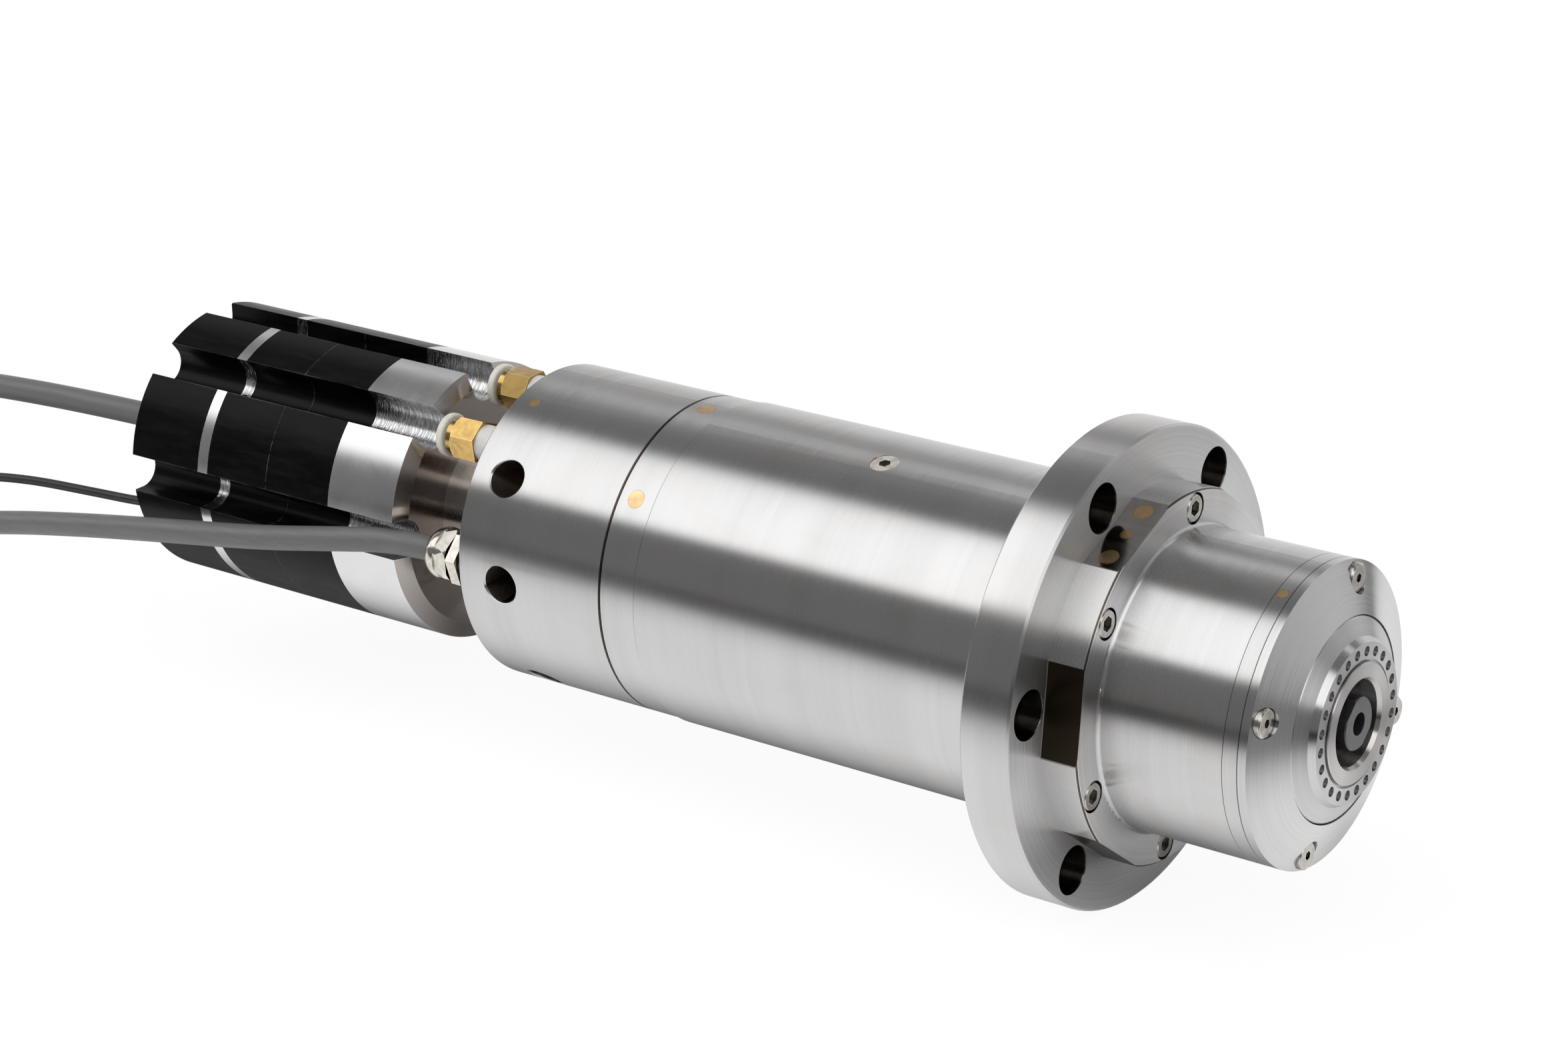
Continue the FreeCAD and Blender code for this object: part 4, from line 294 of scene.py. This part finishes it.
def plain_metal(name, colour, worn, rough=0.25, wear=0.3, painted_recess_shade=0.0, reach=2.5):
    """Machined small metal part with brighter worn edges, faint smudges and painted shade in its recesses.
    """
    s = Shader(name)
    smudge = s.noise(s.place, 0.25, detail=4.0, rough=0.6, distortion=0.8)
    fine = s.noise(s.place, 6.0, detail=3.0, rough=0.7)
    edge = s.edge_wear(wear)
    base = s.shade(colour, s.span(smudge, 0.3, 0.75, 1.08, 0.7))
    base = s.mix(edge, base, worn)
    # Painted shade: the colour darkens where the part lies deep in a recess
    if painted_recess_shade:
        base = s.shade(base, s.level(s.crevice(reach), 1.0, 1.0 - painted_recess_shade))
    roughness = s.math("ADD", s.span(fine, 0.3, 0.7, rough - 0.04, rough + 0.06),
                       s.span(smudge, 0.35, 0.7, -0.02, 0.07))
    normal = s.bump(s.math("ADD", fine, smudge), 0.0075)
    return s.finish(colour=base, metallic=1.0, roughness=roughness, normal=normal)


def machined_nose(name):
    """The stepped front housing: turned all over, its six flats lapped to a mirror, with a painted dark
    reflection on the lowest flats and painted shade in their pockets.
    """
    s = Shader(name)
    fine = s.noise(s.rings, 3.2, detail=4.0, rough=0.75)
    coarse = s.noise(s.rings, 0.35, detail=3.0, rough=0.6)
    cuts = s.noise(s.rings, 1.1, detail=3.0, rough=0.8)
    cloud = s.noise(s.place, 0.03, detail=4.0, distortion=0.8)
    aside = s.vector("ADD", s.place, (90.0, 40.0, 10.0))
    stain = s.noise(aside, (0.02, 0.04, 0.04), detail=3.0, distortion=1.5)
    step = s.math("MULTIPLY", s.band(s.x, *STEP_RING_X, 0.1), s.span(s.radius, *STEP_FLAT_RADIUS))
    flat = s.math("MULTIPLY", step, s.span(s.outward, 0.93, 0.95))
    pocket = s.math("MULTIPLY", step, s.span(s.outward, 0.95, 0.93))
    smear = s.noise(s.place, (0.05, 0.5, 0.5), detail=4.0, rough=0.6, distortion=0.5)
    base = s.mix(s.span(stain, 0.5, 0.72, 0.0, 0.6), STEEL, (0.59, 0.54, 0.51))
    base = s.mix(s.span(cloud, 0.56, 0.74, 0.0, 0.4), base, (0.54, 0.565, 0.535))
    base = s.shade(base, s.level(s.end_face, 1.0, s.span(cuts, 0.3, 0.7, 0.90, 1.06)))
    lapped = s.mix(s.span(smear, 0.35, 0.65), (0.64, 0.61, 0.58), (0.56, 0.53, 0.50))
    # Painted reflection: the lowest lapped flats get a near-black colour, as if mirroring the dark
    low = s.span(s.angle, *LOW_FLAT_ANGLE)
    lapped = s.mix(low, lapped, (0.05, 0.036, 0.025))
    base = s.mix(flat, base, lapped)
    # Painted shade: the pocket walls beside the flats get a dark brown colour
    base = s.mix(pocket, base, (0.10, 0.085, 0.07))
    rings = s.math("ADD", s.span(fine, 0.3, 0.7, 0.235, 0.295), s.span(coarse, 0.3, 0.7, -0.015, 0.03))
    rings = s.level(s.end_face, rings, s.span(cuts, 0.3, 0.7, 0.27, 0.33))
    roughness = s.level(flat, rings, s.level(low, s.span(smear, 0.3, 0.7, 0.07, 0.14), 0.3))
    height = s.math("ADD", s.math("MULTIPLY", fine, 0.5), coarse)
    height = s.math("MULTIPLY", height, s.math("SUBTRACT", 1.0, flat))
    return s.finish(colour=base, metallic=1.0, roughness=roughness, normal=s.bump(height, 0.012),
                    **turned(s, 1.0))


def black_anodised(name):
    """Black anodised turned aluminium: deep black, dusty along its length, grey at worn edges."""
    s = Shader(name)
    fine = s.noise(s.rings, 3.0, detail=4.0, rough=0.7)
    dust = s.noise(s.place, (0.05, 0.3, 0.3), detail=5.0, rough=0.65, distortion=0.5)
    edge = s.edge_wear(0.5)
    base = s.mix(s.span(dust, 0.45, 0.75), (0.0022, 0.002, 0.002), (0.008, 0.008, 0.009))
    base = s.mix(s.math("MULTIPLY", edge, s.span(dust, 0.4, 0.62)), base, (0.12, 0.12, 0.125))
    roughness = s.math("ADD", s.span(fine, 0.3, 0.7, 0.27, 0.36), s.span(dust, 0.3, 0.7, -0.03, 0.08))
    return s.finish(colour=base, metallic=0.0, roughness=roughness, normal=s.bump(fine, 0.015), ior=1.19,
                    **turned(s, 0.5))


def silver_anodised(name):
    """Bright turned aluminium with milled flutes that show the cutter's chatter."""
    s = Shader(name)
    fine = s.noise(s.rings, 3.0, detail=4.0, rough=0.7)
    cloud = s.noise(s.place, 0.05, detail=4.0, distortion=0.6)
    side = s.math("SUBTRACT", 1.0, s.end_face)
    flute = s.math("MULTIPLY", s.span(s.radius, *FLUTE_RADIUS), side)
    dash = s.noise(s.place, (1.3, 0.22, 0.22), detail=2.0, rough=0.5, distortion=0.4)
    ripple = s.span(dash, 0.42, 0.58, smooth=True)
    base = s.shade((0.71, 0.71, 0.715), s.span(cloud, 0.3, 0.7, 0.93, 1.03))
    base = s.shade(base, s.level(flute, 1.0, s.span(ripple, 0.0, 1.0, 0.62, 1.0)))
    # Painted shade: the end faces get a darker brown colour than the sides
    base = s.mix(s.end_face, base, (0.40, 0.365, 0.34))
    base = s.mix(s.math("MULTIPLY", s.edge_wear(0.35), 0.8), base, (0.92, 0.92, 0.92))
    roughness = s.math("ADD", s.span(fine, 0.3, 0.7, 0.2, 0.29), s.span(cloud, 0.3, 0.7, -0.02, 0.05))
    roughness = s.level(s.end_face, roughness, 0.12)
    chatter = s.math("MULTIPLY", ripple, s.math("MULTIPLY", flute, 4.0))
    height = s.math("ADD", s.math("MULTIPLY", fine, 0.6), chatter)
    return s.finish(colour=base, metallic=1.0, roughness=roughness, normal=s.bump(height, 0.02),
                    **turned(s, 0.5))


def coated(name, first, second, rough, ior=1.5, wear=None):
    """Plastic, rubber, resin or a dark coat: mottled colour, fine grain and soft wear."""
    s = Shader(name)
    mottle = s.noise(s.place, 0.6, detail=4.0, rough=0.6, distortion=0.4)
    fine = s.noise(s.place, 5.0, detail=3.0, rough=0.7)
    base = s.mix(s.span(mottle, 0.3, 0.7), first, second)
    if wear is not None:
        base = s.mix(s.math("MULTIPLY", s.edge_wear(0.3), 0.6), base, wear)
    roughness = s.math("ADD", s.span(mottle, 0.3, 0.7, rough - 0.05, rough + 0.06),
                       s.span(fine, 0.3, 0.7, -0.02, 0.03))
    return s.finish(colour=base, roughness=roughness, normal=s.bump(fine, 0.015), ior=ior)


def layers(shader, scale, distortion=0.0):
    """Sawtooth of layers that follow each other along the axis."""
    wave = shader.node("ShaderNodeTexWave", wave_type="BANDS", bands_direction="X", wave_profile="SAW")
    shader.put(wave.inputs["Vector"], shader.place)
    shader.put(wave.inputs["Scale"], scale)
    shader.put(wave.inputs["Distortion"], distortion)
    return wave.outputs[1]


def laminations(name):
    """Stacked iron sheets seen on their edges."""
    s = Shader(name)
    sheets = layers(s, 0.31)
    dirt_and_painted_shade = s.noise(s.place, 0.3, detail=4.0)
    base = s.mix(s.span(sheets, 0.0, 0.25), (0.05, 0.045, 0.04), (0.36, 0.35, 0.34))
    base = s.shade(base, s.span(dirt_and_painted_shade, 0.3, 0.7, 1.05, 0.75))
    return s.finish(colour=base, metallic=0.9, roughness=s.span(dirt_and_painted_shade, 0.3, 0.7, 0.32, 0.5),
                    normal=s.bump(sheets, 0.05))


def thread_tape(name):
    """White sealing tape wound over the thread, ragged and a little yellow in places."""
    s = Shader(name)
    ragged = s.noise(s.place, 1.2, detail=4.0)
    base = s.mix(s.span(ragged, 0.35, 0.7), (0.90, 0.89, 0.87), (0.78, 0.76, 0.71))
    height = s.math("ADD", layers(s, 0.22, distortion=3.0), ragged)
    return s.finish(colour=base, roughness=s.span(ragged, 0.3, 0.7, 0.4, 0.6),
                    normal=s.bump(height, 0.15))


def cable_jacket(name, colour, worn, rough):
    """Extruded cable jacket: faint streaks along it, small scuffs, matt patches."""
    s = Shader(name)
    streak = s.noise(s.place, (0.03, 0.8, 0.8), detail=4.0, rough=0.6)
    grain = s.noise(s.place, 3.0, detail=3.0, rough=0.7)
    scuff = s.noise(s.place, 0.2, detail=6.0, rough=0.7, distortion=1.0)
    base = s.mix(s.span(streak, 0.3, 0.75), colour, tuple(c * 0.86 for c in colour))
    base = s.mix(s.math("MULTIPLY", s.span(scuff, 0.62, 0.72), 0.5), base, worn)
    roughness = s.math("ADD", s.span(streak, 0.3, 0.7, rough - 0.06, rough + 0.06),
                       s.span(grain, 0.3, 0.7, -0.02, 0.03))
    height = s.math("ADD", grain, s.math("MULTIPLY", streak, 2.0))
    return s.finish(colour=base, roughness=roughness, normal=s.bump(height, 0.03), ior=1.48)


# ---------------------------------------------------------------- cords

def bspline(name, points, diameter, material):
    """A round cord along a smooth NURBS line with those control points, in millimetres."""
    curve = bpy.data.curves.new(name, "CURVE")
    curve.dimensions = "3D"
    curve.bevel_depth = diameter * MM / 2.0
    curve.bevel_resolution = 8
    curve.resolution_u = 12
    curve.use_fill_caps = True
    spline = curve.splines.new("NURBS")
    spline.points.add(len(points) - 1)
    for point, (x, y, z) in zip(spline.points, points):
        point.co = (x * MM, y * MM, z * MM, 1.0)
    spline.order_u = 3
    spline.use_endpoint_u = True
    curve.materials.append(material)
    cord = bpy.data.objects.new(name, curve)
    bpy.context.scene.collection.objects.link(cord)
    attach(cord, "spindle_housing")
    return cord


# Turns of a coil, its control points in each turn, and the cord's run past the coil to its plug
COIL_TURNS = 4
COIL_POINTS = 16
COIL_STUB = 12.0
# Turns after which the cord begins to climb onto its lower layer, and how long that takes
COIL_CLIMB, COIL_CLIMB_TURNS = 1.85, 0.3


def coil_points(centre, side, diameter, mid_radius, first_z, end):
    """Two turns inwards on the floor, two outwards on top of them, then straight out to the plug."""
    points = []
    for k in range(COIL_TURNS * COIL_POINTS + 1):
        laid = k / COIL_POINTS
        radius = mid_radius + diameter * (1.0 - laid if laid < 2.0 else laid - 3.0)
        rise = min(max((laid - COIL_CLIMB) / COIL_CLIMB_TURNS, 0.0), 1.0)
        angle = side * math.radians(90.0 + 360.0 * laid)
        points.append((centre[0] + radius * math.cos(angle), centre[1] + radius * math.sin(angle),
                       first_z + diameter * rise))
    x, y, z = points[-1]
    return points + [(x - 18.0, y, z), (x - 34.0, y, z), (x - 46.0, y, (z + end[2]) / 2.0),
                     (x - 54.0, y, end[2]), end]


# Control points of the three cords up to their coils or plug, as in the CAD
SIGNAL_ROUTE = [(-254.3, -50.48, -1.41), (-273.6, -50.48, -1.41), (-301.6, -57.88, -4.79),
                (-334.1, -61.78, -10.22), (-378.1, -62.38, -16.83), (-428.1, -61.58, -25.10),
                (-480.1, -60.18, -35.17), (-534.1, -59.38, -48.62), (-584.1, -59.68, -62.63),
                (-628.1, -60.18, -73.57), (-668.1, -59.98, -80.10), (-724.85, -59.98, -80.10)]
POWER_ROUTE = [(-254.3, 46.13, -20.54), (-309.6, 46.13, -20.54), (-372.1, 46.73, -21.01),
               (-438.1, 46.33, -21.60), (-506.1, 46.63, -22.43), (-570.1, 46.23, -24.79),
               (-628.1, 48.93, -30.40), (-684.1, 55.73, -40.56), (-738.1, 62.53, -54.15),
               (-790.1, 66.13, -68.26), (-840.1, 66.13, -79.60), (-885.25, 66.13, -79.60)]
SENSOR_ROUTE = [(-418.0, 0.0, -36.0), (-432.0, 0.0, -36.0), (-458.0, 0.3, -39.70),
                (-492.0, -0.1, -41.41), (-528.0, 0.3, -43.79), (-561.0, 0.0, -48.76),
                (-589.0, 0.4, -56.68), (-615.0, 0.0, -66.36), (-639.0, 0.4, -75.6),
                (-661.0, 0.0, -80.0), (-679.0, 0.0, -80.0)]
# Diameter, mean radius of the coil and height of the plug on each coiled cord, in millimetres
SIGNAL_SIZE, SIGNAL_COIL, SIGNAL_PLUG_Z = 9.5, 47.25, -75.0
POWER_SIZE, POWER_COIL, POWER_PLUG_Z = 10.5, 52.75, -72.0
SENSOR_SIZE = 3.8


def coiled_route(route, side, diameter, coil, plug_z):
    """Control points of a cord with its coil at the end, at one or the other side of its line."""
    x, y, z = route[-1]
    reach = coil + COIL_STUB
    centre = (x - reach, y - side * (coil + diameter))
    return route + coil_points(centre, side, diameter, coil, z, (x - 2.0 * reach, y, plug_z))


def make_cords(grey, black):
    points = coiled_route(SIGNAL_ROUTE, -1, SIGNAL_SIZE, SIGNAL_COIL, SIGNAL_PLUG_Z)
    signal = bspline("signal_cord", points, SIGNAL_SIZE, grey)
    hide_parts("signal_cable", "signal_cable_coil")
    points = coiled_route(POWER_ROUTE, 1, POWER_SIZE, POWER_COIL, POWER_PLUG_Z)
    power = bspline("power_cord", points, POWER_SIZE, grey)
    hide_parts("power_cable", "power_cable_coil")
    sensor = bspline("sensor_cord", SENSOR_ROUTE, SENSOR_SIZE, black)
    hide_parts("sensor_cable")


# ---------------------------------------------------------------- floor and light

WHITE = (1.0, 1.0, 1.0, 1.0)
# The studio: soft white panels round the spindle's axis in a dim room. Each row has the degrees where a
# panel begins and ends, from straight up towards the far side, those of its soft edge, and its strength:
# a broad softbox above the near side, a strip light above the far side, and a pale wall behind.
ROOM_LIGHT = 0.2
PANELS = ((-50.0, -10.0, 10.0, 1.4), (35.0, 40.0, 6.0, 0.7), (75.0, 180.0, 30.0, 0.7))
# The floor's own white in its look and how bright it is, half of its side, and its drop, in metres
FLOOR_SHARE, FLOOR_GLOW = 0.86, 1.07
FLOOR_HALF, FLOOR_DROP = 4.0, 0.0002
# The lit table that polished metal mirrors: its light and that of the floor round it, and in millimetres
# where it ends on the near side and ahead of the nose
TABLE_LIGHT, TABLE_DIM = 1.1, 0.1
TABLE_NEAR_Y, TABLE_AHEAD_X = (-600.0, -150.0), (150.0, 350.0)
# The shade under the spindle: what is left of the light, where it lies and its soft edge, and where it ends
SHADE_LEFT, SHADE_Y, SHADE_SOFT, SHADE_AHEAD_X = 0.15, (10.0, 60.0), 80.0, (60.0, 110.0)


def mapped(tree, value, low, high, to_low=0.0, to_high=1.0):
    """Value mapped softly from low..high to to_low..to_high, held at the ends."""
    node = tree.nodes.new("ShaderNodeMapRange")
    node.interpolation_type = "SMOOTHSTEP"
    tree.links.new(value, node.inputs[0])
    for socket, number in zip(node.inputs[1:5], (low, high, to_low, to_high)):
        socket.default_value = number
    return node.outputs[0]


def joined(tree, operation, first, second):
    node = tree.nodes.new("ShaderNodeMath")
    node.operation = operation
    for socket, value in zip(node.inputs, (first, second)):
        if isinstance(value, bpy.types.NodeSocket):
            tree.links.new(value, socket)
        else:
            socket.default_value = value
    return node.outputs[0]


def panel_light(tree, turn):
    """Strength of the studio's light in the direction at that angle round the axis."""
    strength = ROOM_LIGHT
    for begin, end, soft, level in PANELS:
        rise = mapped(tree, turn, math.radians(begin - soft), math.radians(begin), 0.0, level)
        fall = mapped(tree, turn, math.radians(end), math.radians(end + soft), 1.0, 0.0)
        strength = joined(tree, "ADD", joined(tree, "MULTIPLY", rise, fall), strength)
    return strength


def white_light(tree, kind, strength):
    """White background or emission shader; strength is a number or a link."""
    shader = tree.nodes.new(kind)
    shader.inputs[0].default_value = WHITE
    if isinstance(strength, bpy.types.NodeSocket):
        tree.links.new(strength, shader.inputs[1])
    else:
        shader.inputs[1].default_value = strength
    return shader.outputs[0]


def blend(tree, factor, first, second):
    node = tree.nodes.new("ShaderNodeMixShader")
    for socket, value in zip(node.inputs, (factor, first, second)):
        tree.links.new(value, socket)
    return node.outputs[0]


def make_world():
    world = bpy.data.worlds.new("studio")
    bpy.context.scene.world = world
    world.use_nodes = True
    tree = world.node_tree
    tree.nodes.clear()
    split = tree.nodes.new("ShaderNodeSeparateXYZ")
    tree.links.new(tree.nodes.new("ShaderNodeTexCoord").outputs["Generated"], split.inputs[0])
    turn = joined(tree, "ARCTAN2", split.outputs[1], split.outputs[2])
    light = white_light(tree, "ShaderNodeBackground", panel_light(tree, turn))
    white = white_light(tree, "ShaderNodeBackground", 1.0)
    camera_ray = tree.nodes.new("ShaderNodeLightPath").outputs["Is Camera Ray"]
    tree.links.new(blend(tree, camera_ray, light, white),
                   tree.nodes.new("ShaderNodeOutputWorld").inputs[0])


def make_floor():
    mesh = bpy.data.meshes.new("floor")
    corners = [(x * FLOOR_HALF, y * FLOOR_HALF, FLOOR_Z - FLOOR_DROP)
               for x, y in ((-1, -1), (1, -1), (1, 1), (-1, 1))]
    mesh.from_pydata(corners, [], [(0, 1, 2, 3)])
    floor = bpy.data.objects.new("floor", mesh)
    bpy.context.scene.collection.objects.link(floor)
    s = Shader("pale_floor")
    grain = s.noise(s.place, 0.05, detail=3.0)
    pale = s.shade((0.9, 0.9, 0.9), s.span(grain, 0.3, 0.7, 0.99, 1.01))
    s.finish(colour=pale, roughness=0.9, specular=0.0)
    path = s.node("ShaderNodeLightPath")
    share = s.math("MULTIPLY", path.outputs["Is Camera Ray"], FLOOR_SHARE)
    seen = blend(s.tree, share, s.bsdf.outputs[0], white_light(s.tree, "ShaderNodeEmission", FLOOR_GLOW))
    shade = s.math("MULTIPLY", s.band(s.y, *SHADE_Y, SHADE_SOFT), s.span(s.x, *SHADE_AHEAD_X, 1.0, 0.0))
    lit = s.span(s.y, *TABLE_NEAR_Y, TABLE_DIM, TABLE_LIGHT, smooth=True)
    lit = s.math("MULTIPLY", lit, s.span(shade, 0.0, 1.0, 1.0, SHADE_LEFT))
    lit = s.math("MULTIPLY", lit, s.span(s.x, *TABLE_AHEAD_X, 1.0, 0.25, smooth=True))
    mirrored = white_light(s.tree, "ShaderNodeEmission", lit)
    s.put(s.output.inputs["Surface"], blend(s.tree, path.outputs["Is Glossy Ray"], seen, mirrored))
    mesh.materials.append(s.material)


# ---------------------------------------------------------------- what each node is made of

def make_materials():
    return {
        "body": turned_steel("ground_steel", grain=0.6, dirt_and_painted_shade=housing_painted_shade),
        "manifold": turned_steel("manifold_steel", grain=0.6, dirt_and_painted_shade=manifold_painted_shade),
        "band": turned_steel("band_steel", grain=0.6, dirt_and_painted_shade=band_painted_shade),
        # Painted shade: the neck, set between the silver block and the manifold, gets a darker brown steel
        # colour
        "neck": turned_steel("neck_steel", colour=(0.45, 0.40, 0.37), rough=0.25),
        "nose": machined_nose("nose_steel"),
        "cover": turned_steel("cover_steel", tint=0.5, grain=1.2, face_rough=0.2),
        "disc": turned_steel("disc_steel", tint=0.3, grain=1.5, rough=0.2, face_rough=0.34),
        "shaft": turned_steel("shaft_steel", tint=0.4, rough=0.2, face_rough=0.34,
                              colour=(0.56, 0.54, 0.53)),
        "bearing": plain_metal("bearing_steel", (0.62, 0.62, 0.62), (0.8, 0.8, 0.8), rough=0.1),
        "screw": plain_metal("screw_steel", (0.50, 0.47, 0.44), (0.88, 0.86, 0.83), rough=0.2, wear=0.5,
                             painted_recess_shade=0.9, reach=2.2),
        "dark": plain_metal("dark_steel", (0.12, 0.115, 0.11), (0.4, 0.39, 0.38), rough=0.3),
        "gripper": coated("gripper_black", (0.012, 0.012, 0.014), (0.03, 0.03, 0.034), 0.3, ior=1.8,
                          wear=(0.12, 0.12, 0.125)),
        "iron": laminations("laminated_iron"),
        "resin": coated("coil_resin", (0.30, 0.10, 0.03), (0.22, 0.07, 0.02), 0.35),
        "silver": silver_anodised("silver_aluminium"),
        "jacket": plain_metal("jacket_aluminium", (0.66, 0.66, 0.66), (0.8, 0.8, 0.8), rough=0.3),
        "black": black_anodised("black_aluminium"),
        "brass": plain_metal("brass", (0.62, 0.41, 0.145), (0.88, 0.71, 0.38), rough=0.17, wear=0.4,
                             painted_recess_shade=0.6),
        "plug": plain_metal("brass_plug", (0.80, 0.56, 0.30), (0.62, 0.42, 0.20), rough=0.27, wear=0.25),
        "nickel": plain_metal("nickel", (0.68, 0.64, 0.58), (0.90, 0.88, 0.84), rough=0.11, wear=0.4,
                              painted_recess_shade=0.75),
        "plastic": coated("white_plastic", (0.88, 0.86, 0.78), (0.80, 0.77, 0.68), 0.32),
        "tape": thread_tape("white_tape"),
        "rubber": coated("rubber", (0.02, 0.02, 0.02), (0.035, 0.035, 0.035), 0.6),
        "cage": coated("cage_resin", (0.42, 0.27, 0.12), (0.34, 0.21, 0.09), 0.45),
        "grey": cable_jacket("grey_cable", (0.178, 0.18, 0.183), (0.28, 0.28, 0.28), 0.42),
        "thin": cable_jacket("black_cable", (0.022, 0.022, 0.024), (0.09, 0.09, 0.09), 0.38),
    }


FINISHES = {
    "body": ("main_housing",),
    "manifold": ("rear_manifold",),
    "band": ("rear_bearing_housing",),
    "neck": ("cylinder_neck",),
    "nose": ("front_bearing_housing",),
    "cover": ("nose_ring", "front_cover"),
    "disc": ("balance_disc",),
    "shaft": ("shaft", "release_rod", "drawbar_end_nut", "lock_nuts"),
    "bearing": ("front_bearing_outer_rings", "rear_bearing_outer_ring", "bearing_inner_rings",
                "front_bearing_balls", "rear_bearing_balls"),
    "screw": ("step_ring_screws", "cover_screws", "manifold_screws", "cylinder_tie_bolts"),
    "dark": ("disc_springs", "preload_spring", "position_sensor"),
    "gripper": ("drawbar", "gripper_finger_1", "gripper_finger_2", "gripper_finger_3", "gripper_finger_4"),
    "iron": ("stator_core", "rotor_core"),
    "resin": ("stator_windings",),
    "silver": ("cylinder_front_block", "cylinder_band_plate"),
    "jacket": ("cooling_sleeve", "release_pistons"),
    "black": ("cylinder_front_stage", "cylinder_middle_stage", "cylinder_rear_cap"),
    "brass": ("coolant_fittings",),
    "plug": ("brass_plugs",),
    "nickel": ("housing_plug_screw", "cable_gland_bodies", "cable_gland_nuts"),
    "plastic": ("coolant_out_release_ring", "coolant_in_release_ring"),
    "tape": ("fitting_thread_tape",),
    "rubber": ("jacket_seals", "cable_gland_seals", "signal_connector", "power_connector",
               "sensor_connector"),
    "cage": ("front_bearing_cages", "rear_bearing_cage"),
}


def dress_nodes(made):
    for finish, names in FINISHES.items():
        for name in names:
            for slot in NODES[name].material_slots:
                slot.link = "OBJECT"
                slot.material = made[finish]


make_camera()
materials = make_materials()
make_cords(materials["grey"], materials["thin"])
make_world()
make_floor()
dress_nodes(materials)
